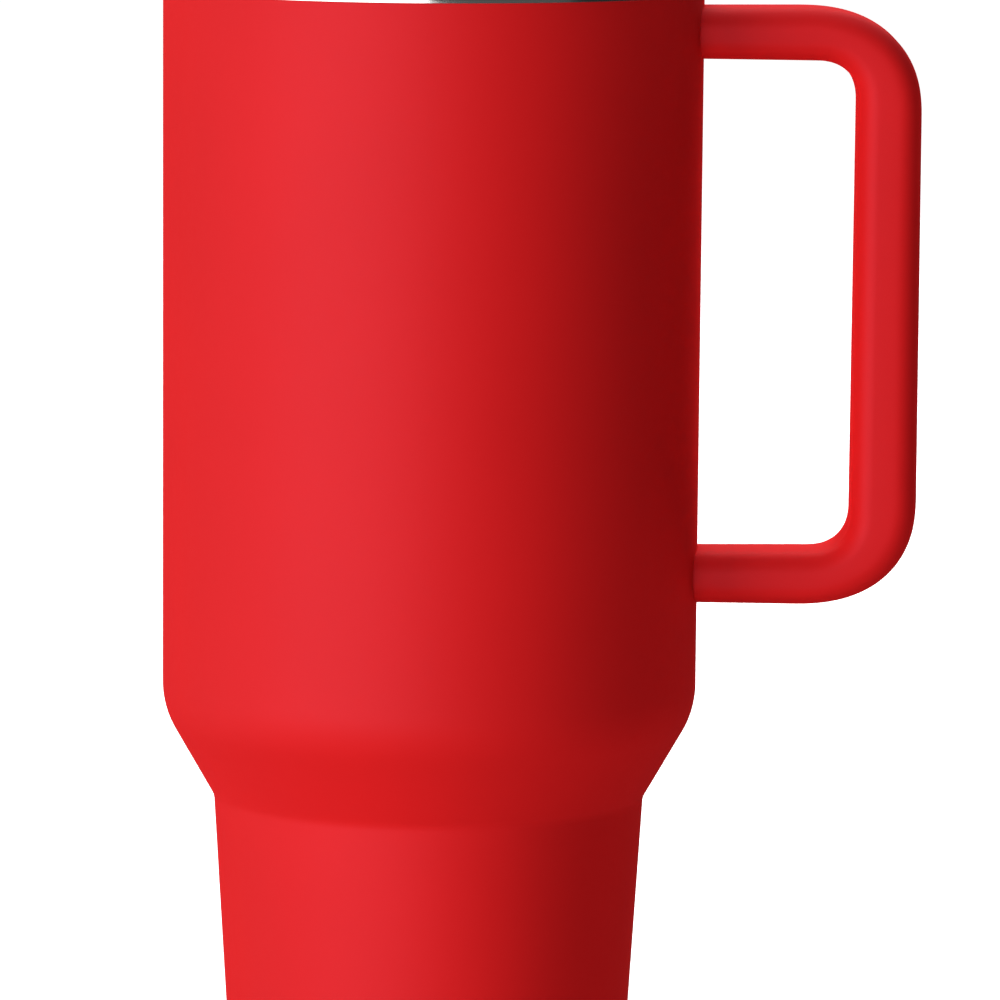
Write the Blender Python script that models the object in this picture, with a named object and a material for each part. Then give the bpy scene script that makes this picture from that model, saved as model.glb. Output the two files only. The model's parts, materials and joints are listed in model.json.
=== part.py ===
"""Insulated travel mug with a loop handle, a press-in lid with a sliding sip closure, and a straw.

Frame: +Z up, the origin on the vessel's axis in the plane of its foot ring, the handle towards +X.
Run it with: blender --background --python part.py
"""

import math

import bmesh
import bpy

MM = 0.001

# How finely round shapes are divided
TURN_STEPS = 40  # around the vessel and the lid
SMALL_TURN_STEPS = 20  # around the straw, the magnets and other small turned pieces
ARC_SAG = 0.15 * MM  # most that an arc's chords cut inside it
FIT_GAP = 0.3 * MM  # left between pieces that touch or are welded together
SHARP_ANGLE = math.radians(35.0)  # edges between faces that turn by more stay sharp

# Vessel: outside sizes
RIM_HEIGHT = 240.0 * MM
MOUTH_RADIUS = 51.5 * MM
WALL_TAPER = 0.3 * MM  # how much smaller the straight wall's radius is at the shoulder
NECK_RADIUS = 41.3 * MM  # where the shoulder's cone meets the lower wall
NECK_HEIGHT = 79.2 * MM
SHOULDER_ANGLE = math.radians(30.0)  # the cone's slope, from vertical
SHOULDER_FILLET = 17.5 * MM
NECK_FILLET = 4.0 * MM
LOWER_WALL_ANGLE = math.radians(3.55)  # the draught of the lower wall that fits a cup holder
FOOT_FILLET = 3.5 * MM

# Vessel: double wall
SHELL_WALL = 0.8 * MM
LINER_WALL = 0.8 * MM
VACUUM_GAP = 2.2 * MM
COAT_EDGE_DROP = 6.0 * MM  # bare steel between the rim and the coloured coat
LIP_FILLET = 1.7 * MM
BAND_INSET = 0.1 * MM  # the bare band's radius is this much less than the coated wall's
FLOOR_HEIGHT = 8.0 * MM  # inside floor above the foot plane
FLOOR_FILLET = 8.0 * MM
FOIL_THICKNESS = 0.3 * MM
FOIL_END_GAP = 8.0 * MM

# Base
FOOT_RING_INNER = 30.5 * MM
FOOT_FLANGE_HEIGHT = 5.0 * MM
BASE_PLATE_HEIGHT = 2.4 * MM  # underside above the foot plane
BASE_DIMPLE_RADIUS = 7.0 * MM
BASE_DIMPLE_DEPTH = 1.0 * MM
EVACUATION_HOLE_RADIUS = 1.5 * MM
SEAL_RADIUS = 4.5 * MM
SEAL_THICKNESS = 0.6 * MM
COVER_RECESS = 1.2 * MM
COVER_THICKNESS = 0.6 * MM
GETTER_RADIUS = 5.0 * MM
GETTER_THICKNESS = 1.8 * MM
GETTER_OFFSET = 16.0 * MM

# Handle: a pressed steel loop in two halves
HANDLE_WIDTH = 20.0 * MM  # along Y
HANDLE_TOP_DROP = 2.75 * MM  # from the coat's edge down to the upper arm's top face
HANDLE_FOOT_RISE = 21.0 * MM  # from the shoulder's corner up to the lower arm's underside
HANDLE_REACH = 41.3 * MM  # from the mouth's radius out to the grip's outer face
ARM_THICKNESS = 10.0 * MM
GRIP_THICKNESS = 12.4 * MM
ROOT_TAPER = 0.15 * MM  # each face of an arm closes in by this much towards the vessel
HANDLE_OUTER_BEND = 19.4 * MM
HANDLE_INNER_BEND = 8.7 * MM
BEND_STEPS = 7
HANDLE_EDGE_RADIUS = 4.0 * MM
HANDLE_EDGE_STEPS = 3
HANDLE_WALL = 1.0 * MM
SPIGOT_WALL = 1.0 * MM
SPIGOT_DEPTH = 11.0 * MM

# Lid
LID_FLANGE_INSET = 0.4 * MM  # flange radius below the bare band's radius
LID_FLANGE_THICKNESS = 3.2 * MM
LID_FLANGE_FILLET = 1.2 * MM
LID_SKIRT_CLEARANCE = 1.2 * MM
LID_SKIRT_WALL = 2.6 * MM
LID_SKIRT_DEPTH = 14.3 * MM  # below the flange's underside
LID_PLATE_THICKNESS = 2.2 * MM
DISH_DEPTH = 4.5 * MM
DISH_WALL_SLOPE = 1.5 * MM  # how much wider the dish is at its top
DISH_FILLET = 1.0 * MM
GROOVE_TOP_DROP = 4.8 * MM  # below the flange's underside
GROOVE_HEIGHT = 6.0 * MM
GROOVE_DEPTH = 1.2 * MM
GASKET_LIP_LAND = (0.45, 0.7)  # where a lip reaches the liner, as shares of its height
UNDERPLATE_THICKNESS = 2.0 * MM
DUCT_WALL = 1.5 * MM
VENT_RADIUS = 1.2 * MM
VENT_PLACE = (30.0 * MM, 8.0 * MM)

# Sip opening and its slider
SLOT_WIDTH = 18.0 * MM  # along X
SLOT_LENGTH = 8.0 * MM  # along Y
SLOT_END_FLAT = 0.5 * MM  # half of the straight part left between the corners of each end
SLIDER_WIDTH = 24.0 * MM
SLIDER_THICKNESS = 3.6 * MM
SLIDER_FRONT_STEPS = 6
SLIDER_FRONT_LAND = 4.0 * MM  # from the slot to the slider's front edge
SLIDER_REAR_LAND = 9.4 * MM  # from the slot to the slider's back edge
SLIDER_RUNNING_GAP = 0.4 * MM
SLIDER_TRAVEL = 14.0 * MM
SLIDER_EDGE_BEVEL = 0.8 * MM
GRIP_RIDGE_WIDTH = 17.0 * MM
GRIP_RIDGE_LENGTH = 4.0 * MM
GRIP_RIDGE_HEIGHT = 2.6 * MM
RAIL_WIDTH = 1.8 * MM
RAIL_HEIGHT = 2.4 * MM
SLIDER_SEAL_MARGIN = 1.2 * MM
SLIDER_SEAL_THICKNESS = 1.2 * MM
MAGNET_RADIUS = 2.5 * MM
MAGNET_THICKNESS = 1.6 * MM
MAGNET_POST_RADIUS = 3.5 * MM

# Straw
STRAW_PLACE = (0.0, 17.0 * MM)
STRAW_RADIUS = 4.5 * MM
STRAW_WALL = 1.0 * MM
STRAW_FLOOR_GAP = 3.5 * MM
STRAW_ABOVE_RIM = 55.0 * MM
STRAW_TRAVEL = 30.0 * MM
STOP_WALL = 2.2 * MM
STOP_LENGTH = 6.0 * MM
GROMMET_WALL = 1.7 * MM
GROMMET_FLANGE = 2.0 * MM
GROMMET_FLANGE_THICKNESS = 1.2 * MM

# Heights that follow from the sizes above
COAT_EDGE = RIM_HEIGHT - COAT_EDGE_DROP
SHOULDER_RADIUS = MOUTH_RADIUS - WALL_TAPER
SHOULDER_HEIGHT = NECK_HEIGHT + (SHOULDER_RADIUS - NECK_RADIUS) / math.tan(SHOULDER_ANGLE)
FOOT_RADIUS = NECK_RADIUS - NECK_HEIGHT * math.tan(LOWER_WALL_ANGLE)
LINER_INSET = SHELL_WALL + VACUUM_GAP
CAVITY_INSET = LINER_INSET + LINER_WALL
BAND_RADIUS = MOUTH_RADIUS - BAND_INSET
HANDLE_TOP = COAT_EDGE - HANDLE_TOP_DROP
HANDLE_BOTTOM = SHOULDER_HEIGHT + HANDLE_FOOT_RISE
FLANGE_UNDERSIDE = RIM_HEIGHT + FIT_GAP
FLANGE_TOP = FLANGE_UNDERSIDE + LID_FLANGE_THICKNESS
DISH_FLOOR = FLANGE_TOP - DISH_DEPTH
PLATE_UNDERSIDE = DISH_FLOOR - LID_PLATE_THICKNESS
SKIRT_BOTTOM = FLANGE_UNDERSIDE - LID_SKIRT_DEPTH
GROMMET_HOLE_RADIUS = STRAW_RADIUS + FIT_GAP + GROMMET_WALL + FIT_GAP


# ---------------------------------------------------------------- outlines


def rounded(corners, closed=True, steps=None):
    """Points along an outline of (x, y, fillet radius) corners, each fillet an arc of short chords."""
    points = []
    count = len(corners)
    for i, (x, y, fillet) in enumerate(corners):
        ends = not closed and i in (0, count - 1)
        if fillet <= 0 or ends:
            points.append((x, y))
            continue
        before, after = corners[i - 1], corners[(i + 1) % count]
        points += fillet_arc(before[:2], (x, y), after[:2], fillet, steps)
    return points


def fillet_arc(before, corner, after, fillet, steps=None):
    """The arc of radius fillet that is tangent to both sides of a corner."""
    a = unit(before[0] - corner[0], before[1] - corner[1])
    b = unit(after[0] - corner[0], after[1] - corner[1])
    between = math.acos(max(-1.0, min(1.0, a[0] * b[0] + a[1] * b[1])))
    turn = math.pi - between
    if turn < 1e-6:
        return [corner]
    bisector = unit(a[0] + b[0], a[1] + b[1])
    to_centre = fillet / math.sin(between / 2)
    centre = (corner[0] + bisector[0] * to_centre, corner[1] + bisector[1] * to_centre)
    reach = fillet / math.tan(between / 2)
    start = (corner[0] + a[0] * reach, corner[1] + a[1] * reach)
    first = math.atan2(start[1] - centre[1], start[0] - centre[0])
    side = 1.0 if a[0] * b[1] - a[1] * b[0] < 0 else -1.0
    chord_turn = 2 * math.acos(max(0.5, 1 - ARC_SAG / fillet))
    steps = steps or max(1, math.ceil(turn / chord_turn))
    angles = [first + side * turn * i / steps for i in range(steps + 1)]
    return [(centre[0] + fillet * math.cos(t), centre[1] + fillet * math.sin(t)) for t in angles]


def unit(x, y):
    length = math.hypot(x, y)
    return x / length, y / length


def crossing(p, p_way, q, q_way):
    """Where the line through p along p_way meets the line through q along q_way."""
    across = p_way[0] * q_way[1] - p_way[1] * q_way[0]
    along = ((q[0] - p[0]) * q_way[1] - (q[1] - p[1]) * q_way[0]) / across
    return p[0] + p_way[0] * along, p[1] + p_way[1] * along


def wall_corners(inset, top, bottom, bottom_fillet=0.0):
    """The vessel's wall line, moved inwards by inset, from height top down to height bottom."""
    outside = [
        (MOUTH_RADIUS, COAT_EDGE),
        (SHOULDER_RADIUS, SHOULDER_HEIGHT),
        (NECK_RADIUS, NECK_HEIGHT),
        (FOOT_RADIUS, 0.0),
    ]
    sides = []
    for start, end in zip(outside, outside[1:]):
        way = unit(end[0] - start[0], end[1] - start[1])
        inwards = (way[1], -way[0])
        sides.append(((start[0] + inwards[0] * inset, start[1] + inwards[1] * inset), way))
    level = (1.0, 0.0)
    first = crossing(*sides[0], (0.0, top), level)
    shoulder = crossing(*sides[0], *sides[1])
    neck = crossing(*sides[1], *sides[2])
    last = crossing(*sides[2], (0.0, bottom), level)
    return [
        (*first, 0.0),
        (*shoulder, max(SHOULDER_FILLET - inset, inset)),
        (*neck, NECK_FILLET + inset),
        (*last, bottom_fillet),
    ]


def straight_wall_radius(height, inset=0.0):
    """The radius of the upper wall at a height above the shoulder."""
    return wall_corners(inset, height, 0.0)[0][0]


def rectangle(width, length, centre, corner):
    """A rounded rectangle in XY."""
    x, y = centre
    w, d = width / 2, length / 2
    return rounded([(x - w, y - d, corner), (x + w, y - d, corner), (x + w, y + d, corner), (x - w, y + d, corner)])


def circle(radius, centre, steps=SMALL_TURN_STEPS):
    turns = [2 * math.pi * i / steps for i in range(steps)]
    return [(centre[0] + radius * math.cos(t), centre[1] + radius * math.sin(t)) for t in turns]


# ---------------------------------------------------------------- solids


def material(name, colour, roughness, metallic=0.0, alpha=1.0):
    made = bpy.data.materials.new(name)
    made.use_nodes = True
    shader = made.node_tree.nodes["Principled BSDF"]
    shader.inputs["Base Color"].default_value = (*colour, 1.0)
    shader.inputs["Roughness"].default_value = roughness
    shader.inputs["Metallic"].default_value = metallic
    shader.inputs["Alpha"].default_value = alpha
    return made


def add_object(name, bm, finish, place=(0.0, 0.0)):
    """Closes a bmesh into a named object, smooth except at its sharp edges."""
    bmesh.ops.remove_doubles(bm, verts=bm.verts, dist=1e-7)
    bmesh.ops.recalc_face_normals(bm, faces=bm.faces)
    mesh = bpy.data.meshes.new(name)
    bm.to_mesh(mesh)
    bm.free()
    mesh.shade_smooth()
    mesh.set_sharp_from_angle(angle=SHARP_ANGLE)
    if finish:
        mesh.materials.append(finish)
    made = bpy.data.objects.new(name, mesh)
    made.location = (place[0], place[1], 0.0)
    bpy.context.scene.collection.objects.link(made)
    return made


def turned(name, outline, finish, place=(0.0, 0.0), steps=TURN_STEPS):
    """A solid of revolution about Z. An outline that starts and ends on the axis is closed by it."""
    bm = bmesh.new()
    ring = [bm.verts.new((radius, 0.0, height)) for radius, height in outline]
    edges = [bm.edges.new(pair) for pair in zip(ring, ring[1:])]
    if outline[0][0] > 0 or outline[-1][0] > 0:
        edges.append(bm.edges.new((ring[-1], ring[0])))
    bmesh.ops.spin(
        bm, geom=ring + edges, cent=(0, 0, 0), axis=(0, 0, 1), angle=2 * math.pi, steps=steps, use_merge=True
    )
    return add_object(name, bm, finish, place)


def prism(name, outline, bottom, top, finish=None, top_bevel=0.0):
    """An XY outline raised from height bottom to height top, with its top edge bevelled if asked."""
    bm = bmesh.new()
    lower, upper = ([bm.verts.new((x, y, height)) for x, y in outline] for height in (bottom, top))
    bridge(bm, lower, upper)
    bm.faces.new(lower)
    cap = bm.faces.new(upper)
    if top_bevel > 0:
        bmesh.ops.bevel(bm, geom=list(cap.edges), offset=top_bevel, segments=2, profile=0.5, affect="EDGES")
    return add_object(name, bm, finish)


def boolean(target, tool, operation):
    """Applies tool to target by a modifier, and keeps tool as a hidden guide."""
    tool.hide_render = True
    tool.display_type = "WIRE"
    step = target.modifiers.new(tool.name, "BOOLEAN")
    step.operation = operation
    step.solver = "EXACT"
    step.object = tool


def cut(target, tool):
    boolean(target, tool, "DIFFERENCE")


def join(target, tool):
    boolean(target, tool, "UNION")


def bridge(bm, first, second, closed=True):
    """Quads between two rows of vertices of the same length."""
    count = len(first)
    for i in range(count if closed else count - 1):
        j = (i + 1) % count
        bm.faces.new((first[i], first[j], second[j], second[i]))


# ---------------------------------------------------------------- vessel


def make_outer_shell(finish):
    """The coated outer wall, folded in at the foot and up again as a flange that holds the base plate."""
    outside = wall_corners(0.0, COAT_EDGE, 0.0, FOOT_FILLET)
    inside = wall_corners(SHELL_WALL, COAT_EDGE, SHELL_WALL, FOOT_FILLET - SHELL_WALL)
    flange = [
        (FOOT_RING_INNER, 0.0, SHELL_WALL),
        (FOOT_RING_INNER, FOOT_FLANGE_HEIGHT, 0.0),
        (FOOT_RING_INNER + SHELL_WALL, FOOT_FLANGE_HEIGHT, 0.0),
        (FOOT_RING_INNER + SHELL_WALL, SHELL_WALL, 0.0),
    ]
    return turned("outer_shell", rounded(outside + flange + inside[::-1]), finish)


def make_inner_liner(finish):
    """The drinking vessel's inner wall, its rolled lip and the bare band that hangs over the outside."""
    band_bottom = COAT_EDGE + FIT_GAP
    inner_line = wall_corners(CAVITY_INSET, RIM_HEIGHT, FLOOR_HEIGHT, FLOOR_FILLET)
    hidden_line = wall_corners(
        LINER_INSET, RIM_HEIGHT - LINER_WALL, FLOOR_HEIGHT - LINER_WALL, FLOOR_FILLET + LINER_WALL
    )
    lip_inside = (inner_line[0][0], inner_line[0][1], LIP_FILLET)
    roll_inside = (hidden_line[0][0], hidden_line[0][1], LIP_FILLET - LINER_WALL)
    floor = [(0.0, FLOOR_HEIGHT, 0.0), (0.0, FLOOR_HEIGHT - LINER_WALL, 0.0)]
    corners = (
        [floor[0]]
        + inner_line[:0:-1]
        + [lip_inside]
        + [(BAND_RADIUS, RIM_HEIGHT, LIP_FILLET), (BAND_RADIUS, band_bottom, 0.0)]
        + [(BAND_RADIUS - LINER_WALL, band_bottom, 0.0)]
        + [(BAND_RADIUS - LINER_WALL, RIM_HEIGHT - LINER_WALL, LIP_FILLET - LINER_WALL)]
        + [roll_inside]
        + hidden_line[1:]
        + [floor[1]]
    )
    return turned("inner_liner", rounded(corners, closed=False), finish)


def make_foil(finish):
    """A thin wrap in the vacuum gap that reflects heat back."""
    inset = SHELL_WALL + (VACUUM_GAP - FOIL_THICKNESS) / 2
    top, bottom = COAT_EDGE - FOIL_END_GAP, FLOOR_HEIGHT + FOIL_END_GAP
    outside = rounded(wall_corners(inset, top, bottom), closed=False)
    inside = rounded(wall_corners(inset + FOIL_THICKNESS, top, bottom), closed=False)
    return turned("reflective_foil", outside + inside[::-1], finish)


def make_base(steel, seal_finish, getter_finish):
    """The plate that closes the outer wall, the seal over its evacuation hole, the getter and the cover."""
    radius = FOOT_RING_INNER - FIT_GAP
    under, over = BASE_PLATE_HEIGHT, BASE_PLATE_HEIGHT + SHELL_WALL
    raised = BASE_DIMPLE_DEPTH
    shoulder = BASE_DIMPLE_RADIUS - raised
    plate = [
        (EVACUATION_HOLE_RADIUS, under + raised),
        (shoulder, under + raised),
        (BASE_DIMPLE_RADIUS, under),
        (radius, under),
        (radius, FOOT_FLANGE_HEIGHT),
        (radius - SHELL_WALL, FOOT_FLANGE_HEIGHT),
        (radius - SHELL_WALL, over),
        (BASE_DIMPLE_RADIUS, over),
        (shoulder, over + raised),
        (EVACUATION_HOLE_RADIUS, over + raised),
    ]
    turned("base_plate", plate, steel)

    seal_top = under + raised - FIT_GAP
    seal = [
        (0.0, seal_top, 0.0),
        (SEAL_RADIUS, seal_top, SEAL_THICKNESS / 3),
        (SEAL_RADIUS, seal_top - SEAL_THICKNESS, SEAL_THICKNESS / 3),
        (0.0, seal_top - SEAL_THICKNESS, 0.0),
    ]
    turned("vacuum_seal", rounded(seal, closed=False), seal_finish, steps=SMALL_TURN_STEPS)

    edge = COVER_THICKNESS / 3
    cover = [
        (0.0, COVER_RECESS, 0.0),
        (radius, COVER_RECESS, edge),
        (radius, COVER_RECESS + COVER_THICKNESS, 0.0),
        (0.0, COVER_RECESS + COVER_THICKNESS, 0.0),
    ]
    turned("base_cover", rounded(cover, closed=False), steel)

    stands = over + FIT_GAP
    getter = [
        (0.0, stands, 0.0),
        (GETTER_RADIUS, stands, 0.0),
        (GETTER_RADIUS, stands + GETTER_THICKNESS, GETTER_THICKNESS / 3),
        (0.0, stands + GETTER_THICKNESS, 0.0),
    ]
    turned("getter", rounded(getter, closed=False), getter_finish, (GETTER_OFFSET, 0.0), SMALL_TURN_STEPS)


# ---------------------------------------------------------------- handle


def section_half(thickness, inset, side, seam):
    """Half of the loop's rounded section, as (depth from the outer face, y), from seam to seam."""
    radius = HANDLE_EDGE_RADIUS - inset
    far = HANDLE_WIDTH / 2 - HANDLE_EDGE_RADIUS
    points = [(inset, side * seam)]
    for centre, start in ((HANDLE_EDGE_RADIUS, math.pi), (thickness - HANDLE_EDGE_RADIUS, math.pi / 2)):
        for i in range(HANDLE_EDGE_STEPS + 1):
            turn = start - math.pi / 2 * i / HANDLE_EDGE_STEPS
            points.append((centre + radius * math.cos(turn), side * (far + radius * math.sin(turn))))
    points.append((thickness - inset, side * seam))
    return points


def bend_pairs(outer_centre, inner_centre, start):
    """(outer, inner) points in XZ round one bend, a quarter turn clockwise from angle start."""
    pairs = []
    for i in range(BEND_STEPS + 1):
        turn = start - math.pi / 2 * i / BEND_STEPS
        way = (math.cos(turn), math.sin(turn))
        pairs.append(
            tuple(
                (centre[0] + radius * way[0], centre[1] + radius * way[1])
                for centre, radius in ((outer_centre, HANDLE_OUTER_BEND), (inner_centre, HANDLE_INNER_BEND))
            )
        )
    return pairs


def handle_stations():
    """(outer point, inner point) in XZ along the loop, from the upper root to the lower one."""
    outer_x = MOUTH_RADIUS + HANDLE_REACH
    inner_x = outer_x - GRIP_THICKNESS
    under_arm, over_arm = HANDLE_TOP - ARM_THICKNESS, HANDLE_BOTTOM + ARM_THICKNESS
    upper = bend_pairs(
        (outer_x - HANDLE_OUTER_BEND, HANDLE_TOP - HANDLE_OUTER_BEND),
        (inner_x - HANDLE_INNER_BEND, under_arm - HANDLE_INNER_BEND),
        math.pi / 2,
    )
    lower = bend_pairs(
        (outer_x - HANDLE_OUTER_BEND, HANDLE_BOTTOM + HANDLE_OUTER_BEND),
        (inner_x - HANDLE_INNER_BEND, over_arm + HANDLE_INNER_BEND),
        0.0,
    )
    upper_root = ((None, HANDLE_TOP - ROOT_TAPER), (None, under_arm + ROOT_TAPER))
    lower_root = ((None, HANDLE_BOTTOM + ROOT_TAPER), (None, over_arm - ROOT_TAPER))
    return [upper_root] + upper + lower + [lower_root]


def place_section(station, points):
    """Section points set out at a station. At a root each point's X lies on the vessel's wall."""
    (outer_x, outer_z), (inner_x, inner_z) = station
    placed = []
    if outer_x is None:
        down = math.copysign(1.0, inner_z - outer_z)
        for depth, y in points:
            z = outer_z + down * depth
            placed.append((on_wall(y, z), y, z))
        return placed
    way = unit(inner_x - outer_x, inner_z - outer_z)
    return [(outer_x + way[0] * depth, y, outer_z + way[1] * depth) for depth, y in points]


def on_wall(y, z):
    """X of a point that stands the fitting gap off the vessel's upper wall."""
    radius = straight_wall_radius(z) + FIT_GAP
    return math.sqrt(radius * radius - y * y)


def station_thickness(station):
    (outer_x, outer_z), (inner_x, inner_z) = station
    if outer_x is None:
        return abs(inner_z - outer_z)
    return math.hypot(inner_x - outer_x, inner_z - outer_z)


def make_handle_half(name, side, finish):
    """One pressed channel of the loop, open at the seam in the plane Y = 0."""
    bm = bmesh.new()
    seam = FIT_GAP / 2
    rows = []
    for station in handle_stations():
        thickness = station_thickness(station)
        skin = place_section(station, section_half(thickness, 0.0, side, seam))
        lining = place_section(station, section_half(thickness, HANDLE_WALL, side, seam))
        rows.append([bm.verts.new(p) for p in skin + lining[::-1]])
    for first, second in zip(rows, rows[1:]):
        bridge(bm, first, second)
    for row in (rows[0], rows[-1]):
        half = len(row) // 2
        bridge(bm, row[:half], row[: half - 1 : -1], closed=False)
    return add_object(name, bm, finish)


def make_spigot(name, centre_z, finish):
    """The short weld-on sleeve inside an arm that holds the loop to the outer wall."""
    bm = bmesh.new()
    room = HANDLE_WALL + FIT_GAP
    half_width = HANDLE_WIDTH / 2 - room
    half_height = ARM_THICKNESS / 2 - ROOT_TAPER - room
    corner = HANDLE_EDGE_RADIUS - room
    loops = []
    for inset in (0.0, SPIGOT_WALL):
        w, h, c = half_width - inset, half_height - inset, corner - inset
        corners = [(-w, -h, c), (0.0, -h, 0.0), (w, -h, c), (w, h, c), (0.0, h, 0.0), (-w, h, c)]
        outline = rounded(corners, steps=HANDLE_EDGE_STEPS)
        tip_x = straight_wall_radius(centre_z) + SPIGOT_DEPTH
        root = [(on_wall(y, centre_z + z), y, centre_z + z) for y, z in outline]
        tip = [(tip_x, y, centre_z + z) for y, z in outline]
        loops.append([[bm.verts.new(p) for p in end] for end in (root, tip)])
    (outer_root, outer_tip), (inner_root, inner_tip) = loops
    bridge(bm, outer_root, outer_tip)
    bridge(bm, inner_root, inner_tip)
    bridge(bm, outer_root, inner_root)
    bridge(bm, outer_tip, inner_tip)
    return add_object(name, bm, finish)


# ---------------------------------------------------------------- lid


def lid_radii():
    """(flange, skirt outside, skirt inside, dish floor) radii of the lid."""
    flange = BAND_RADIUS - LID_FLANGE_INSET
    skirt = straight_wall_radius(RIM_HEIGHT, CAVITY_INSET) - LID_SKIRT_CLEARANCE
    inside = skirt - LID_SKIRT_WALL
    return flange, skirt, inside, inside - DISH_WALL_SLOPE / 2


def slider_front_radius():
    """The slider's front edge is an arc that runs close inside the dish's wall."""
    return lid_radii()[3] - DISH_FILLET - SLIDER_RUNNING_GAP


def slot_centre():
    return 0.0, -(slider_front_radius() - SLIDER_FRONT_LAND - SLOT_LENGTH / 2)


def slider_magnet_place():
    """Where the slider's magnet lies when it is closed."""
    slot_back = slot_centre()[1] + SLOT_LENGTH / 2
    return 0.0, slot_back + SLIDER_REAR_LAND - MAGNET_RADIUS - 2 * SLIDER_EDGE_BEVEL


def make_lid_top(finish):
    """The moulded cap: flange, dished plate, skirt with a gasket groove, slider rails and openings."""
    flange, skirt, inside, floor = lid_radii()
    groove_top = FLANGE_UNDERSIDE - GROOVE_TOP_DROP
    groove = skirt - GROOVE_DEPTH
    dish_top = floor + DISH_WALL_SLOPE
    profile = [
        (0.0, DISH_FLOOR, 0.0),
        (floor, DISH_FLOOR, DISH_FILLET),
        (dish_top, FLANGE_TOP, DISH_FILLET),
        (flange, FLANGE_TOP, LID_FLANGE_FILLET),
        (flange, FLANGE_UNDERSIDE, 0.0),
        (skirt, FLANGE_UNDERSIDE, 0.0),
        (skirt, groove_top, 0.0),
        (groove, groove_top, 0.0),
        (groove, groove_top - GROOVE_HEIGHT, 0.0),
        (skirt, groove_top - GROOVE_HEIGHT, 0.0),
        (skirt, SKIRT_BOTTOM, 0.0),
        (inside, SKIRT_BOTTOM, 0.0),
        (inside, PLATE_UNDERSIDE, 0.0),
        (0.0, PLATE_UNDERSIDE, 0.0),
    ]
    lid = turned("lid_top", rounded(profile, closed=False), finish)

    front = slider_front_radius()
    back = slot_centre()[1] + SLOT_LENGTH / 2 + SLIDER_REAR_LAND + SLIDER_TRAVEL
    for label, side in (("left", -1), ("right", 1)):
        x = side * (SLIDER_WIDTH / 2 + SLIDER_RUNNING_GAP + RAIL_WIDTH / 2)
        start = -math.sqrt(front * front - (abs(x) + RAIL_WIDTH / 2) ** 2)
        outline = rectangle(RAIL_WIDTH, back - start, (x, (start + back) / 2), RAIL_WIDTH / 3)
        embedded = DISH_FLOOR - LID_PLATE_THICKNESS / 2
        join(lid, prism(f"guide_rail_{label}", outline, embedded, DISH_FLOOR + RAIL_HEIGHT))
    for label, outline in (
        ("sip_slot", slot_outline(0.0)),
        ("straw_port", circle(GROMMET_HOLE_RADIUS, STRAW_PLACE)),
        ("vent", circle(VENT_RADIUS, VENT_PLACE)),
    ):
        cut(lid, prism(f"guide_{label}", outline, PLATE_UNDERSIDE - MM, DISH_FLOOR + MM))
    return lid


def slot_outline(margin):
    """The sip opening's outline, grown by margin."""
    corner = SLOT_LENGTH / 2 - SLOT_END_FLAT + margin
    return rectangle(SLOT_WIDTH + 2 * margin, SLOT_LENGTH + 2 * margin, slot_centre(), corner)


def make_lid_underplate(finish):
    """The plug's lower plate, with ducts for the sip opening, straw and vent, and the magnets' posts."""
    inside = lid_radii()[2] - FIT_GAP
    top = SKIRT_BOTTOM + UNDERPLATE_THICKNESS
    plate = turned(
        "lid_underplate",
        [(0.0, SKIRT_BOTTOM), (inside, SKIRT_BOTTOM), (inside, top), (0.0, top)],
        finish,
    )
    duct_top = PLATE_UNDERSIDE - FIT_GAP
    straw_duct = GROMMET_HOLE_RADIUS + GROMMET_FLANGE + 2 * FIT_GAP
    bodies = (
        ("sip_duct", slot_outline(DUCT_WALL), duct_top),
        ("straw_duct", circle(straw_duct + DUCT_WALL, STRAW_PLACE), duct_top),
        ("vent_duct", circle(VENT_RADIUS + DUCT_WALL, VENT_PLACE), duct_top),
        ("closed_post", circle(MAGNET_POST_RADIUS, slider_magnet_place()), magnet_underside()),
        ("open_post", circle(MAGNET_POST_RADIUS, open_magnet_place()), magnet_underside()),
    )
    embedded = SKIRT_BOTTOM + UNDERPLATE_THICKNESS / 2
    for label, outline, height in bodies:
        join(plate, prism(f"guide_{label}", outline, embedded, height))
    for label, outline in (
        ("sip_duct_bore", slot_outline(0.0)),
        ("straw_duct_bore", circle(straw_duct, STRAW_PLACE)),
        ("vent_duct_bore", circle(VENT_RADIUS, VENT_PLACE)),
    ):
        cut(plate, prism(f"guide_{label}", outline, SKIRT_BOTTOM - MM, duct_top + MM))
    return plate


def open_magnet_place():
    x, y = slider_magnet_place()
    return x, y + SLIDER_TRAVEL


def magnet_underside():
    """The top of the posts, which press the lid's magnets up under the plate."""
    return PLATE_UNDERSIDE - 2 * FIT_GAP - MAGNET_THICKNESS


def make_disc(name, radius, bottom, thickness, place, finish):
    edge = thickness / 6
    outline = [
        (0.0, bottom, 0.0),
        (radius, bottom, edge),
        (radius, bottom + thickness, edge),
        (0.0, bottom + thickness, 0.0),
    ]
    return turned(name, rounded(outline, closed=False), finish, place, SMALL_TURN_STEPS)


def make_gasket(finish):
    """The silicone ring in the skirt's groove, with two lips that wipe the liner's wall."""
    skirt = lid_radii()[1]
    inner = skirt - GROOVE_DEPTH + FIT_GAP
    lip = straight_wall_radius(RIM_HEIGHT, CAVITY_INSET) - FIT_GAP
    top = FLANGE_UNDERSIDE - GROOVE_TOP_DROP - FIT_GAP
    bottom = top - GROOVE_HEIGHT + 2 * FIT_GAP
    lip_height = (top - bottom) / 3
    land_start, land_end = (share * lip_height for share in GASKET_LIP_LAND)
    outline = [(inner, bottom), (skirt, bottom)]
    for base in (bottom + lip_height / 4, top - lip_height * 5 / 4):
        outline += [
            (skirt, base),
            (lip, base + land_start),
            (lip, base + land_end),
            (skirt, base + lip_height),
        ]
    outline += [(skirt, top), (inner, top)]
    return turned("lid_gasket", outline, finish)


# ---------------------------------------------------------------- slider


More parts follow.
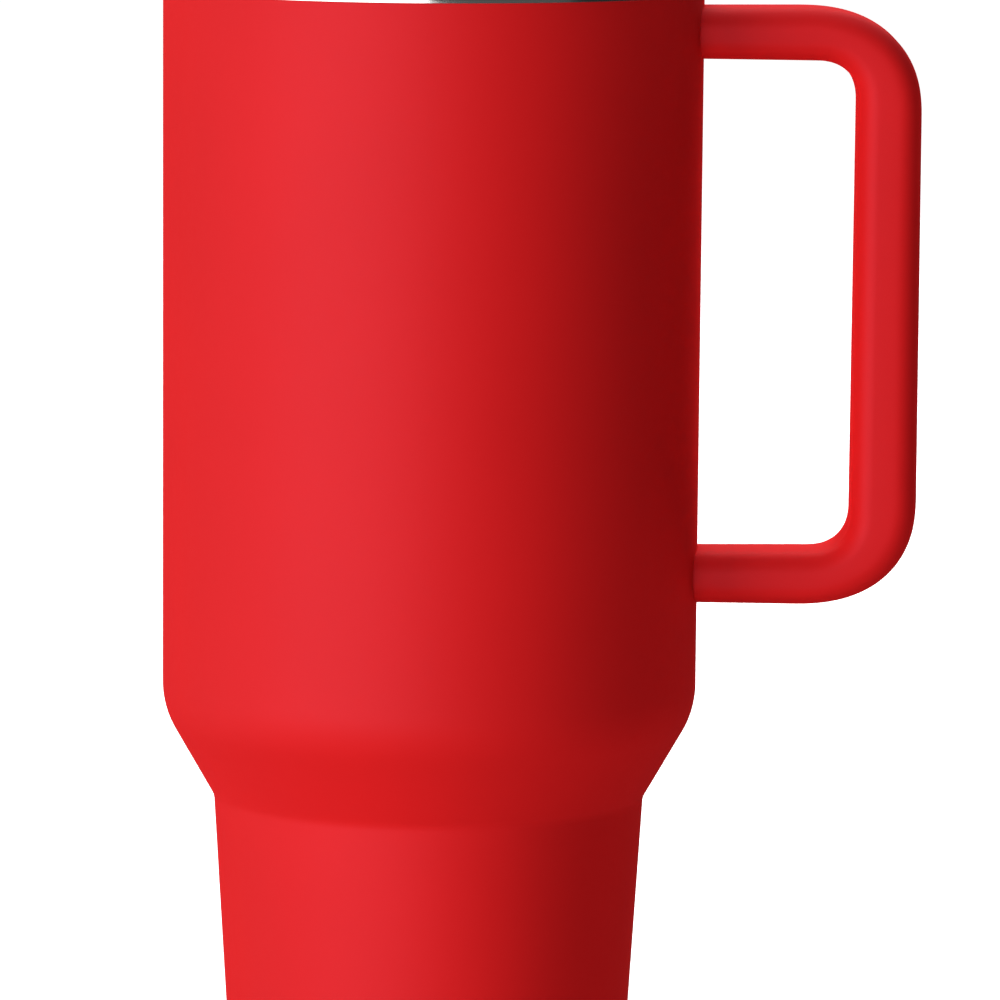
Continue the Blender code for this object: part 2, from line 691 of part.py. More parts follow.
def slider_outline():
    """Straight sides and back, and a front edge that is an arc about the lid's centre."""
    front = slider_front_radius()
    half = SLIDER_WIDTH / 2
    spread = math.asin(half / front)
    arc = []
    for i in range(SLIDER_FRONT_STEPS + 1):
        turn = -math.pi / 2 - spread + 2 * spread * i / SLIDER_FRONT_STEPS
        arc.append((front * math.cos(turn), front * math.sin(turn), 0.0))
    back = slot_centre()[1] + SLOT_LENGTH / 2 + SLIDER_REAR_LAND
    corner = 2.5 * SLIDER_EDGE_BEVEL
    return rounded(arc + [(half, back, corner), (-half, back, corner)])


def make_slider(finish):
    """The sliding cover with its thumb ridge, and pockets underneath for the seal and the magnet."""
    bottom = DISH_FLOOR + FIT_GAP
    top = bottom + SLIDER_THICKNESS
    slider = prism("slider", slider_outline(), bottom, top, finish, top_bevel=SLIDER_EDGE_BEVEL)
    ridge = rectangle(GRIP_RIDGE_WIDTH, GRIP_RIDGE_LENGTH, slot_centre(), GRIP_RIDGE_LENGTH / 2.5)
    ridge_top = top + GRIP_RIDGE_HEIGHT
    join(slider, prism("guide_grip_ridge", ridge, bottom + SLIDER_THICKNESS / 2, ridge_top, None, SLIDER_EDGE_BEVEL))
    seal_room = slot_outline(SLIDER_SEAL_MARGIN + FIT_GAP)
    seal_depth = SLIDER_SEAL_THICKNESS + FIT_GAP
    cut(slider, prism("guide_seal_pocket", seal_room, bottom - MM, bottom + seal_depth))
    magnet_room = circle(MAGNET_RADIUS + FIT_GAP, slider_magnet_place())
    magnet_depth = MAGNET_THICKNESS + FIT_GAP
    cut(slider, prism("guide_magnet_pocket", magnet_room, bottom - MM, bottom + magnet_depth))
    return slider


def make_slider_seal(finish):
    bottom = DISH_FLOOR + FIT_GAP
    return prism(
        "slider_seal", slot_outline(SLIDER_SEAL_MARGIN), bottom, bottom + SLIDER_SEAL_THICKNESS, finish
    )


# ---------------------------------------------------------------- straw


def make_straw(finish):
    bottom, top = FLOOR_HEIGHT + STRAW_FLOOR_GAP, RIM_HEIGHT + STRAW_ABOVE_RIM
    inner = STRAW_RADIUS - STRAW_WALL
    edge = STRAW_WALL / 2.5
    outline = [
        (inner, bottom, edge),
        (STRAW_RADIUS, bottom, edge),
        (STRAW_RADIUS, top, edge),
        (inner, top, edge),
    ]
    return turned("straw", rounded(outline), finish, STRAW_PLACE, SMALL_TURN_STEPS)


def grommet_heights():
    """(underside, top) of the straw's grommet, whose flanges grip the lid's plate."""
    room = GROMMET_FLANGE_THICKNESS + FIT_GAP
    return PLATE_UNDERSIDE - room, DISH_FLOOR + room


def make_grommet(finish):
    """A silicone spool round the straw: a neck in the plate's hole and a flange on each side of it."""
    under, over = grommet_heights()
    inner = STRAW_RADIUS + FIT_GAP
    neck = GROMMET_HOLE_RADIUS - FIT_GAP
    flange = GROMMET_HOLE_RADIUS + GROMMET_FLANGE
    edge = GROMMET_FLANGE_THICKNESS / 3
    outline = [
        (inner, under, edge),
        (flange, under, edge),
        (flange, under + GROMMET_FLANGE_THICKNESS, 0.0),
        (neck, under + GROMMET_FLANGE_THICKNESS, 0.0),
        (neck, over - GROMMET_FLANGE_THICKNESS, 0.0),
        (flange, over - GROMMET_FLANGE_THICKNESS, 0.0),
        (flange, over, edge),
        (inner, over, edge),
    ]
    return turned("straw_grommet", rounded(outline), finish, STRAW_PLACE, SMALL_TURN_STEPS)


def make_straw_stop(name, bottom, finish):
    """A silicone collar that grips the straw and limits how far it slides."""
    inner = STRAW_RADIUS + FIT_GAP
    outer = inner + STOP_WALL
    edge = STOP_WALL / 2.5
    outline = [
        (inner, bottom, 0.0),
        (outer, bottom, edge),
        (outer, bottom + STOP_LENGTH, edge),
        (inner, bottom + STOP_LENGTH, 0.0),
    ]
    return turned(name, rounded(outline), finish, STRAW_PLACE, SMALL_TURN_STEPS)


# ---------------------------------------------------------------- assembly


def clear_scene():
    for old in list(bpy.data.objects):
        bpy.data.objects.remove(old)


def make_vessel(coat, steel):
    make_outer_shell(coat)
    make_inner_liner(steel)
    make_foil(material("copper_foil", (0.83, 0.45, 0.28), 0.25, 1.0))
    make_base(
        steel,
        material("seal_glass", (0.06, 0.08, 0.09), 0.15),
        material("getter_alloy", (0.32, 0.32, 0.33), 0.55, 1.0),
    )
    make_handle_half("handle_front_half", -1, coat)
    make_handle_half("handle_rear_half", 1, coat)
    make_spigot("handle_upper_spigot", HANDLE_TOP - ARM_THICKNESS / 2, steel)
    make_spigot("handle_lower_spigot", HANDLE_BOTTOM + ARM_THICKNESS / 2, steel)


def make_lid(clear, rubber, magnet_finish):
    make_lid_top(clear)
    make_lid_underplate(clear)
    make_gasket(rubber)
    make_grommet(rubber)
    for name, place in (("lid_magnet_closed", slider_magnet_place()), ("lid_magnet_open", open_magnet_place())):
        make_disc(name, MAGNET_RADIUS, magnet_underside() + FIT_GAP, MAGNET_THICKNESS, place, magnet_finish)


def make_slider_parts(black, rubber, magnet_finish):
    make_slider(black)
    make_slider_seal(rubber)
    bottom = DISH_FLOOR + FIT_GAP
    make_disc("slider_magnet", MAGNET_RADIUS, bottom, MAGNET_THICKNESS, slider_magnet_place(), magnet_finish)


def make_straw_parts(clear, rubber):
    make_straw(clear)
    under, over = grommet_heights()
    make_straw_stop("straw_upper_stop", over + FIT_GAP, rubber)
    make_straw_stop("straw_lower_stop", under - FIT_GAP - STRAW_TRAVEL - STOP_LENGTH, rubber)


def main():
    clear_scene()
    coat = material("red_powder_coat", (0.72, 0.02, 0.03), 0.5)
    steel = material("brushed_steel", (0.62, 0.61, 0.6), 0.3, 1.0)
    clear = material("clear_plastic", (0.75, 0.77, 0.8), 0.1, 0.0, 0.4)
    black = material("black_plastic", (0.02, 0.02, 0.022), 0.35)
    rubber = material("black_silicone", (0.03, 0.03, 0.032), 0.65)
    magnet_finish = material("nickel", (0.7, 0.68, 0.64), 0.2, 1.0)
    make_vessel(coat, steel)
    make_lid(clear, rubber, magnet_finish)
    make_slider_parts(black, rubber, magnet_finish)
    make_straw_parts(clear, rubber)


main()
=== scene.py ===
"""Finished surfaces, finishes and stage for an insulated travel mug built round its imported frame.

The frame gives every piece its place: +Z is up, the origin is on the vessel's axis in the plane of its
foot ring, and the handle is towards +X. All sizes are in metres.
"""

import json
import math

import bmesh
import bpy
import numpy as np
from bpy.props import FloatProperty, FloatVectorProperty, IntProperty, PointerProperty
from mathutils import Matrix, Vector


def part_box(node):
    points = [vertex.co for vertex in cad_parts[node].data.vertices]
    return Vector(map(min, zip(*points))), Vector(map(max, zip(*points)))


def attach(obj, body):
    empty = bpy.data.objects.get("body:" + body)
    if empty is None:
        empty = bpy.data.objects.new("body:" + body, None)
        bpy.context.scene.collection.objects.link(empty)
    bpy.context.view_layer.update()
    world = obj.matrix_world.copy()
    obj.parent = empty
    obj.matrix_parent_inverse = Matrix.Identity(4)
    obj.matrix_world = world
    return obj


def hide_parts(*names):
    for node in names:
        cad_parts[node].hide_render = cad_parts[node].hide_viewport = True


bl_info = {
    "name": "Travel mug",
    "version": (1, 0, 0),
    "blender": (4, 5, 0),
    "location": "View3D > Sidebar > Mug",
    "description": "Builds the finished surfaces of an insulated travel mug on its frame, and its stage",
    "category": "Add Mesh",
}

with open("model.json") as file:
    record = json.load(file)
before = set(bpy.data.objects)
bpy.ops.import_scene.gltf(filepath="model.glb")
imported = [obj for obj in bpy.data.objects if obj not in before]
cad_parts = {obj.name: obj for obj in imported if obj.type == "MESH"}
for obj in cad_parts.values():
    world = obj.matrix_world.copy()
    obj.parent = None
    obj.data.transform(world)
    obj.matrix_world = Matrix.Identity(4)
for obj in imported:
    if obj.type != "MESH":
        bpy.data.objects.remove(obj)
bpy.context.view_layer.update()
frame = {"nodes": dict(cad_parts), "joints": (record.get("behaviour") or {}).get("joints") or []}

MM = 0.001
SHARP_ANGLE = math.radians(32)
ROW_SPACING = 3.0 * MM  # longest step between rows on a straight side, so that it shades flat
MERGE_DISTANCE = 1e-6
SLIVER_LENGTH = 1e-7  # a shorter edge is dissolved
QUAD = 4  # a face with more corners is cut into triangles
LARGE_CIRCLE_STEPS = 96
ON_AXIS = 1e-9  # a radius below this is on the axis
STRAIGHT = 1e-6  # a corner that turns by less than this angle is left alone

# Sizes read from the frame
SHELL_LOW, SHELL_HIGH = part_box("outer_shell")
LINER_LOW, LINER_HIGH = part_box("inner_liner")
COVER_LOW, COVER_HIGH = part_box("base_cover")
HANDLE_LOW, HANDLE_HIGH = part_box("handle_front_half")
LID_LOW, LID_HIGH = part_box("lid_top")
UNDERPLATE_LOW, UNDERPLATE_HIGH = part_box("lid_underplate")
GASKET_LOW, GASKET_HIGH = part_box("lid_gasket")
GROMMET_LOW, GROMMET_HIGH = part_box("straw_grommet")
SLIDER_LOW, SLIDER_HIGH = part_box("slider")
SLIDER_SEAL_LOW, SLIDER_SEAL_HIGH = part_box("slider_seal")
STRAW_LOW, STRAW_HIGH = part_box("straw")

MOUTH_RADIUS = SHELL_HIGH.y
COAT_EDGE = SHELL_HIGH.z
RIM_HEIGHT = LINER_HIGH.z
FLOOR_UNDERSIDE = LINER_LOW.z
STRAW_RADIUS = (STRAW_HIGH.x - STRAW_LOW.x) / 2
STRAW_PLACE = ((STRAW_LOW.x + STRAW_HIGH.x) / 2, (STRAW_LOW.y + STRAW_HIGH.y) / 2)
SLIDER_TRAVEL = next(joint["range_m"][1] for joint in frame["joints"] if joint["name"] == "slider_slide")

# Sizes of the lid's pieces that the frame's boxes don't give
FIT_GAP = 0.3 * MM  # left between pieces that touch
GASKET_REACH = 0.9 * MM  # from the skirt out to the gasket's lips
GROOVE_DEPTH = 1.2 * MM  # of the gasket's groove in the skirt
DISH_STEP = 0.75 * MM  # from the skirt's inside in to the dish's floor
GROMMET_WALL = 1.7 * MM
GROMMET_FLANGE = 2.0 * MM  # how far the grommet's flanges reach past its hole
DUCT_WALL = 1.5 * MM
VENT_RADIUS = 1.2 * MM
VENT_PLACE = (30.0 * MM, 8.0 * MM)
SEAL_MARGIN = 1.2 * MM  # the slider's seal reaches this far past the sip opening
SLOT_END_FLAT = 0.5 * MM  # half of the straight part left at each end of the sip opening
SLIDER_THICKNESS = 3.6 * MM
RUNNING_GAP = 0.4 * MM  # between the slider and its rails


# ---------------- settings


def Number(name, description, default, **more):
    return FloatProperty(name=name, description=description, default=default, **more)


def Length(name, description, millimetres):
    return Number(name, description, millimetres * MM, unit="LENGTH")


def Reach(name, description, along, down):
    default = (along * MM, down * MM)
    return FloatVectorProperty(name=name, description=description, size=2, default=default, unit="LENGTH")


def Angle(name, description, degrees):
    return Number(name, description, math.radians(degrees), subtype="ANGLE")


def Colour(name, description, default):
    limits = {"min": 0.0, "max": 1.0}
    return FloatVectorProperty(
        name=name, description=description, default=default, subtype="COLOR", **limits
    )


class MugShape(bpy.types.PropertyGroup):
    """Sizes of the mug's surfaces that its frame doesn't give as a box."""

    turn_steps: IntProperty(
        name="Turn steps", description="Divisions around the vessel and lid", default=192, min=24
    )
    small_turn_steps: IntProperty(
        name="Small turn steps", description="Divisions around the straw and its seals", default=64, min=12
    )
    shoulder_radius: Length("Shoulder radius", "Radius of the upper wall at its foot", 51.2)
    neck_radius: Length("Neck radius", "Radius where the cone meets the lower wall", 41.3)
    neck_height: Length("Neck height", "Height where the cone meets the lower wall", 79.2)
    shoulder_angle: Angle("Shoulder angle", "Slope of the cone, from vertical", 30.0)
    lower_wall_angle: Angle("Lower wall angle", "Draught of the lower wall", 3.55)
    shoulder_fillet: Length("Shoulder fillet", "Rounding between the wall and the cone", 17.5)
    neck_fillet: Length("Neck fillet", "Rounding between the cone and the lower wall", 4.0)
    foot_fillet: Length("Foot fillet", "Rounding of the foot's outer edge", 3.5)
    wall: Length("Wall", "Thickness of each steel wall", 0.8)
    vacuum_gap: Length("Vacuum gap", "Space between the two walls", 2.2)
    lip_fillet: Length("Lip fillet", "Rounding of the drinking lip", 1.7)
    arm_edge: Length("Arm edge", "Rounding of the long edges of both arms", 4.0)
    grip_edge: Length("Grip edge", "Reach of the grip's outer rounding over its sides", 4.7)
    arm_thickness: Length("Arm thickness", "Height of each arm of the handle", 10.0)
    grip_thickness: Length("Grip thickness", "Depth of the upright grip", 12.4)
    grip_taper: Length("Grip taper", "How much the grip thins towards its top", 0.35)
    root_taper: Length("Root taper", "How much each face of an arm closes in towards the vessel", 0.15)
    outer_bend: Reach("Outer bend", "The outer corners' reach along the arm and down the grip", 23.0, 20.5)
    inner_bend: Reach("Inner bend", "The inner corners' reach along the arm and down the grip", 8.2, 8.2)
    bend_fullness: Number(
        "Bend fullness", "Power of the bends' curve: 2 is an ellipse, more is squarer", 2.35, min=1.5, max=4.0
    )


class MugFinish(bpy.types.PropertyGroup):
    """Colours and grain of the mug's materials."""

    coat_colour: Colour("Coat", "Colour of the powder coat", (0.72, 0.0118, 0.0125))
    coat_roughness: Number("Coat roughness", "Roughness of the powder coat", 0.56, subtype="FACTOR")
    coat_grain: Length("Coat grain", "Size of the coat's fine grain", 0.35)
    steel_colour: Colour("Steel", "Colour of the bare steel", (0.6, 0.59, 0.575))
    clear_tint: Colour("Clear plastic", "Tint of the clear plastic", (0.7, 0.74, 0.78))
    black_colour: Colour("Black plastic", "Colour of the slider", (0.016, 0.016, 0.018))
    silicone_colour: Colour("Silicone", "Colour of the seals", (0.028, 0.028, 0.03))


class MugStage(bpy.types.PropertyGroup):
    """The camera, the floor and the level of the light."""

    lens: Number("Lens", "Focal length in millimetres", 266.4)
    camera_offset: Length("Camera offset", "How far the camera stands towards the handle", 13.33)
    camera_distance: Length("Camera distance", "How far in front of the axis the camera stands", 1409.0)
    camera_height: Length("Camera height", "Height of the camera above the floor", 304.9)
    camera_pitch: Angle("Camera pitch", "How far the camera looks down", 6.83)
    camera_roll: Angle("Camera roll", "How far the picture leans to the right", 0.46)
    lamp_distance: Length("Lamp distance", "From the mug's middle to each soft box", 2000.0)
    floor_size: Length("Floor", "Side of the square floor", 24000.0)
    floor_glow: Number("Floor glow", "Light that the floor adds of its own, away from the mug", 1.0)
    floor_glow_near: Number("Floor glow near", "The same close to the mug, where its shadow shows", 0.45)
    shadow_start: Length("Shadow start", "From the axis to where the floor's glow starts to rise", 100.0)
    shadow_end: Length("Shadow end", "From the axis to where the floor's glow is full", 220.0)
    ceiling_level: Number("Ceiling", "Level of the ceiling in reflections", 0.9)
    wall_level: Number("Walls", "Level of the room's walls in reflections", 0.03)


# ---------------- outlines


def unit(vector):
    return vector / np.linalg.norm(vector)


def fillet_arc(before, corner, after, radius, steps):
    """The arc tangent to both sides of a corner. Its centre is radius / sin(half the corner's angle) along
    the bisector, and its points turn from one tangent point to the other in equal steps."""
    a, b = unit(before - corner), unit(after - corner)
    between = math.acos(np.clip(a @ b, -1.0, 1.0))
    if math.pi - between < STRAIGHT:
        return corner[None, :]
    centre = corner + unit(a + b) * radius / math.sin(between / 2)
    spoke = corner + a * radius / math.tan(between / 2) - centre
    turn = math.copysign(math.pi - between, b[0] * a[1] - b[1] * a[0])
    angles = math.atan2(spoke[1], spoke[0]) + turn * np.linspace(0.0, 1.0, steps + 1)
    return centre + radius * np.stack([np.cos(angles), np.sin(angles)], axis=1)


def outline(corners, closed=True, steps=8, spacing=ROW_SPACING):
    """Corners (x, y, fillet radius) joined by arcs, and by straight sides in steps of at most spacing."""
    points = np.array([corner[:2] for corner in corners], dtype=float)
    count = len(corners)
    parts = []
    for i, (_, _, radius) in enumerate(corners):
        if radius <= 0 or (not closed and i in (0, count - 1)):
            parts.append(points[i][None, :])
        else:
            parts.append(fillet_arc(points[i - 1], points[i], points[(i + 1) % count], radius, steps))
    line = []
    for i, part in enumerate(parts):
        line.append(part)
        if i == count - 1 and not closed:
            break
        start, end = part[-1], parts[(i + 1) % count][0]
        pieces = max(1, math.ceil(np.linalg.norm(end - start) / spacing))
        share = np.linspace(0.0, 1.0, pieces + 1)[1:-1, None]
        line.append(start + (end - start) * share)
    return np.concatenate(line)


def rounded_rectangle(width, length, centre, corner, steps=8):
    x, y = centre
    w, d = width / 2, length / 2
    corners = [(x - w, y - d, corner), (x + w, y - d, corner), (x + w, y + d, corner), (x - w, y + d, corner)]
    return outline(corners, steps=steps)


def box_centre(node):
    low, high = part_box(node)
    return (low.x + high.x) / 2, (low.y + high.y) / 2


def circle(radius, centre, steps=48):
    turn = np.linspace(0.0, 2 * math.pi, steps, endpoint=False)
    return np.stack([centre[0] + radius * np.cos(turn), centre[1] + radius * np.sin(turn)], axis=1)


def line_crossing(p, p_way, q, q_way):
    """Where the line through p along p_way meets the line through q along q_way."""
    along = np.linalg.solve(np.stack([p_way, -q_way], axis=1), q - p)[0]
    return p + p_way * along


def wall_corners(shape, inset, top, bottom, bottom_fillet=0.0):
    """The vessel's wall, top to bottom: its three sides moved inwards by inset, and where they cross."""
    shoulder_height = shape.neck_height + (shape.shoulder_radius - shape.neck_radius) / math.tan(
        shape.shoulder_angle
    )
    foot_radius = shape.neck_radius - shape.neck_height * math.tan(shape.lower_wall_angle)
    outside = np.array(
        [
            (MOUTH_RADIUS, COAT_EDGE),
            (shape.shoulder_radius, shoulder_height),
            (shape.neck_radius, shape.neck_height),
            (foot_radius, 0.0),
        ]
    )
    ways = [unit(end - start) for start, end in zip(outside, outside[1:])]
    starts = [start + np.array([way[1], -way[0]]) * inset for start, way in zip(outside, ways)]
    level = np.array([1.0, 0.0])
    first = line_crossing(starts[0], ways[0], np.array([0.0, top]), level)
    shoulder = line_crossing(starts[0], ways[0], starts[1], ways[1])
    neck = line_crossing(starts[1], ways[1], starts[2], ways[2])
    last = line_crossing(starts[2], ways[2], np.array([0.0, bottom]), level)
    return [
        (*first, 0.0),
        (*shoulder, max(shape.shoulder_fillet - inset, inset)),
        (*neck, shape.neck_fillet + inset),
        (*last, bottom_fillet),
    ]


# ---------------- surfaces


def grid_faces(rows, columns, rows_close, columns_close):
    """Quads between neighbouring rows and columns of a grid, which may close on itself either way."""
    index = np.arange(rows * columns).reshape(rows, columns)
    if columns_close:
        index = np.concatenate([index, index[:, :1]], axis=1)
    if rows_close:
        index = np.concatenate([index, index[:1]], axis=0)
    quads = np.stack([index[:-1, :-1], index[:-1, 1:], index[1:, 1:], index[1:, :-1]], axis=-1)
    return quads.reshape(-1, 4)


def add_surface(name, points, rows_close=True, columns_close=True, capped=False):
    """A grid of points (rows, columns, 3) as a closed mesh. Points that coincide, as at a pole, merge."""
    rows, columns = points.shape[:2]
    faces = grid_faces(rows, columns, rows_close, columns_close).tolist()
    if capped:
        faces += [list(range(columns)), list(range((rows - 1) * columns, rows * columns))]
    mesh = bpy.data.meshes.new(name)
    mesh.from_pydata(points.reshape(-1, 3), [], faces)
    piece = bpy.data.objects.new(name, mesh)
    bpy.context.scene.collection.objects.link(piece)
    tidy_mesh(mesh)
    return piece


def tidy_mesh(mesh):
    """Merges doubles, turns all faces outwards, and shades the mesh smooth between its sharp edges."""
    bm = bmesh.new()
    bm.from_mesh(mesh)
    bmesh.ops.remove_doubles(bm, verts=bm.verts, dist=MERGE_DISTANCE)
    bmesh.ops.dissolve_degenerate(bm, edges=bm.edges, dist=SLIVER_LENGTH)
    bmesh.ops.recalc_face_normals(bm, faces=bm.faces)
    bm.to_mesh(mesh)
    bm.free()
    mesh.shade_smooth()
    mesh.set_sharp_from_angle(angle=SHARP_ANGLE)


def turned(name, profile, steps, place=(0.0, 0.0)):
    """A surface of revolution: each (radius, height) of a closed profile is swept round a vertical axis."""
    turn = np.linspace(0.0, 2 * math.pi, steps, endpoint=False)
    radius, height = profile[:, :1], profile[:, 1:]
    x = place[0] + radius * np.cos(turn)
    y = place[1] + radius * np.sin(turn)
    z = np.broadcast_to(height, x.shape)
    on_axis = profile[0, 0] < ON_AXIS and profile[-1, 0] < ON_AXIS
    return add_surface(name, np.stack([x, y, z], axis=-1), rows_close=not on_axis)


def lofted(name, path, rows):
    """A closed XY path stacked in rows of (inset, height): each row is the path moved inwards by its inset
    along the path's normals, at its height."""
    along = np.roll(path, -1, axis=0) - np.roll(path, 1, axis=0)
    along /= np.linalg.norm(along, axis=1, keepdims=True)
    outwards = np.stack([along[:, 1], -along[:, 0]], axis=1)
    rows = np.array(rows)
    flat = path[None] - outwards[None] * rows[:, 0, None, None]
    z = np.broadcast_to(rows[:, 1, None, None], (*flat.shape[:2], 1))
    return add_surface(name, np.concatenate([flat, z], axis=-1), rows_close=False, capped=True)


def round_top(bottom, top, radius, steps=6):
    """Rows for lofted: upright sides, then a quarter round of a radius up to the top."""
    turn = np.linspace(0.0, math.pi / 2, steps + 1)
    rounded = np.stack([radius * (1 - np.cos(turn)), top - radius + radius * np.sin(turn)], axis=1)
    return np.concatenate([[(0.0, bottom)], rounded])


def combine(piece, tool, operation):
    """Cuts tool from piece or joins it on, and leaves the result as piece's own mesh."""
    step = piece.modifiers.new(tool.name, "BOOLEAN")
    step.operation = operation
    step.solver = "EXACT"
    step.object = tool
    bpy.context.view_layer.update()
    shaped = bpy.data.meshes.new_from_object(piece.evaluated_get(bpy.context.evaluated_depsgraph_get()))
    piece.modifiers.clear()
    piece.data = shaped
    shaped.name = piece.name
    bpy.data.objects.remove(tool)
    tidy_mesh(shaped)


def place_piece(piece, body, slot, finish, *nodes):
    """Gives a finished piece its material, and puts it on its body in place of its frame nodes."""
    piece.data.materials.clear()
    piece.data.materials.append(finish)
    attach(piece, body)
    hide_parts(*nodes)


def refinish(finish, *nodes):
    """Gives frame nodes that stay as they are a new material."""
    for name in nodes:
        node = frame["nodes"][name]
        for holder in node.material_slots:
            holder.material = finish


# ---------------- shader arithmetic


class Wire:
    """A shader socket in arithmetic: +, - and * with wires or numbers add Math nodes."""

    def __init__(self, shader, socket):
        self.shader = shader
        self.socket = socket

    def math(self, operation, first, second):
        return self.shader.node("ShaderNodeMath", {"operation": operation}, {0: first, 1: second})

    def __add__(self, other):
        return self.math("ADD", self, other)

    def __sub__(self, other):
        return self.math("SUBTRACT", self, other)

    def __rsub__(self, other):
        return self.math("SUBTRACT", other, self)

    def __mul__(self, other):
        return self.math("MULTIPLY", self, other)

    __radd__ = __add__
    __rmul__ = __mul__


class Shader:
    """The nodes of a material, or of the world, and the last one that they feed."""

    def __init__(self, owner, last="Principled BSDF", **constants):
        owner.use_nodes = True
        self.owner = owner
        self.tree = owner.node_tree
        self.last = self.tree.nodes[last]
        self.feed(self.last, constants)

    def feed(self, node, values):
        for key, value in values.items():
            socket = node.inputs[key.replace("_", " ") if isinstance(key, str) else key]
            if isinstance(value, Wire):
                self.tree.links.new(value.socket, socket)
            elif socket.type == "RGBA" and len(value) == 3:
                socket.default_value = (*value, 1.0)
            else:
                socket.default_value = value

    def node(self, kind, settings=None, values=None, output=0):
        """A node of a kind, with its settings made first and then its sockets' values or links."""
        made = self.tree.nodes.new(kind)
        for key, value in (settings or {}).items():
            setattr(made, key, value)
        self.feed(made, values or {})
        return Wire(self, made.outputs[output])

    def coordinates(self):
        return self.node("ShaderNodeTexCoord", output="Object")

    def split(self, vector):
        """The x, y and z of a vector."""
        parts = self.node("ShaderNodeSeparateXYZ", {}, {"Vector": vector}).socket.node
        return [Wire(self, socket) for socket in parts.outputs]

    def noise(self, place, size, detail=2.0, roughness=0.5):
        """Noise between 0 and 1 whose grains are about size across."""
        values = {"Vector": place, "Scale": 1.0 / size, "Detail": detail, "Roughness": roughness}
        return self.node("ShaderNodeTexNoise", {}, values)

    def ramp(self, wire, low, high):
        """0 where wire is below low, 1 where it is above high."""
        return self.node("ShaderNodeMapRange", {}, {"Value": wire, "From_Min": low, "From_Max": high})

    def mix(self, share, first, second):
        """A colour that goes from first to second as share goes from 0 to 1."""
        settings = {"data_type": "RGBA"}
        return self.node("ShaderNodeMix", settings, {"Factor": share, 6: first, 7: second}, output=2)

    def shades(self, share, colour, dark, light):
        """A colour that goes from dark times itself to light times itself as share goes from 0 to 1."""
        return self.mix(share, shade_of(colour, dark), shade_of(colour, light))

    def bump(self, height, depth):
        return self.node("ShaderNodeBump", {}, {"Height": height, "Strength": 1.0, "Distance": depth})

    def finish(self, **varied):
        self.feed(self.last, varied)
        return self.owner


def new_finish(name, **constants):
    return Shader(bpy.data.materials.new(name), **constants)


def shade_of(colour, factor):
    """A colour made lighter or darker."""
    return tuple(min(1.0, channel * factor) for channel in colour)


def swing(noise, width):
    """Noise between 0 and 1 turned into a change of width in all, half down and half up."""
    return (noise - 0.5) * width


# ---------------- materials


def once(make):
    """Each material is made the first time that a piece asks for it."""
    made = {}

    def get(look):
        if make.__name__ not in made:
            made[make.__name__] = make(look)
        return made[make.__name__]

    return get


@once
def powder_coat(look):
    """Satin coat: a fine even grain over a softer orange peel, with a very slight drift of tone."""
    shader = new_finish("powder_coat", IOR=1.5, Specular_IOR_Level=0.3, Specular_Tint=(0.9, 0.7, 1.0))
    place = shader.coordinates()
    grain = shader.noise(place, look.coat_grain, detail=3.0, roughness=0.6)
    peel = shader.noise(place, look.coat_grain * 5, detail=1.0)
    drift = shader.noise(place, 40.0 * MM, detail=3.0)
    tone = shader.ramp(drift + swing(grain, 0.25), 0.3, 0.7)
    rough = swing(peel, 0.05) + swing(grain, 0.06) + look.coat_roughness
    return shader.finish(
        Base_Color=shader.shades(tone, look.coat_colour, 0.975, 1.02),
        Roughness=rough,
        Normal=shader.bump(grain * 0.35 + peel, 0.006 * MM),
    )


def brushed(name, look, spacing, roughness, dulling=0.0):
    """Steel brushed round the vessel's axis: noise stretched along each circle and fine across it, with lines
    about spacing apart. Dulling is the roughness added below the lip, where the steel is left as drawn."""
    stretch = 24.0  # lines per metre along the circles
    dull_depth = 6.0 * MM  # below the coat's edge, over which the dulling comes in
    shader = new_finish(name, Metallic=1.0)
    place = shader.coordinates()
    x, y, z = shader.split(place)
    radius = shader.node("ShaderNodeMath", {"operation": "SQRT"}, {0: x * x + y * y})
    across = (radius + z) * (1.0 / spacing)
    lines_at = shader.node("ShaderNodeCombineXYZ", {}, {"X": x * stretch, "Y": y * stretch, "Z": across})
    lines = shader.node("ShaderNodeTexNoise", {}, {"Vector": lines_at, "Scale": 1.0, "Detail": 4.0})
    stain = shader.noise(place, 30.0 * MM, detail=4.0)
    tone = shader.ramp(lines * 0.7 + stain * 0.3, 0.3, 0.7)
    dull = (1.0 - shader.ramp(z, COAT_EDGE - dull_depth, COAT_EDGE)) * dulling
    return shader.finish(
        Base_Color=shader.shades(tone, look.steel_colour, 0.9, 1.08),
        Roughness=swing(lines, 0.22) + swing(stain, 0.1) + dull + roughness,
        Normal=shader.bump(lines, 0.004 * MM),
    )


@once
def lip_steel(look):
    """The liner: electropolished at the lip, with only faint lines left, and duller inside."""
    return brushed("lip_steel", look, 0.5 * MM, 0.17, dulling=0.28)


@once
def base_steel(look):
    """The base and hidden steel: plainly brushed."""
    return brushed("base_steel", look, 0.25 * MM, 0.36)


@once
def clear_plastic(look):
    """Clear moulded plastic: slight flow marks and hairline scuffs."""
    shader = new_finish("clear_plastic", Transmission_Weight=0.92, IOR=1.49)
    place = shader.coordinates()
    flow = shader.noise(place, 12.0 * MM, detail=2.0)
    scuff = shader.noise(place, 0.9 * MM, detail=5.0, roughness=0.7)
    return shader.finish(
        Base_Color=shader.shades(flow, look.clear_tint, 0.94, 1.0),
        Roughness=shader.ramp(scuff, 0.55, 0.85) * 0.14 + flow * 0.04 + 0.04,
        Normal=shader.bump(flow, 0.02 * MM),
    )


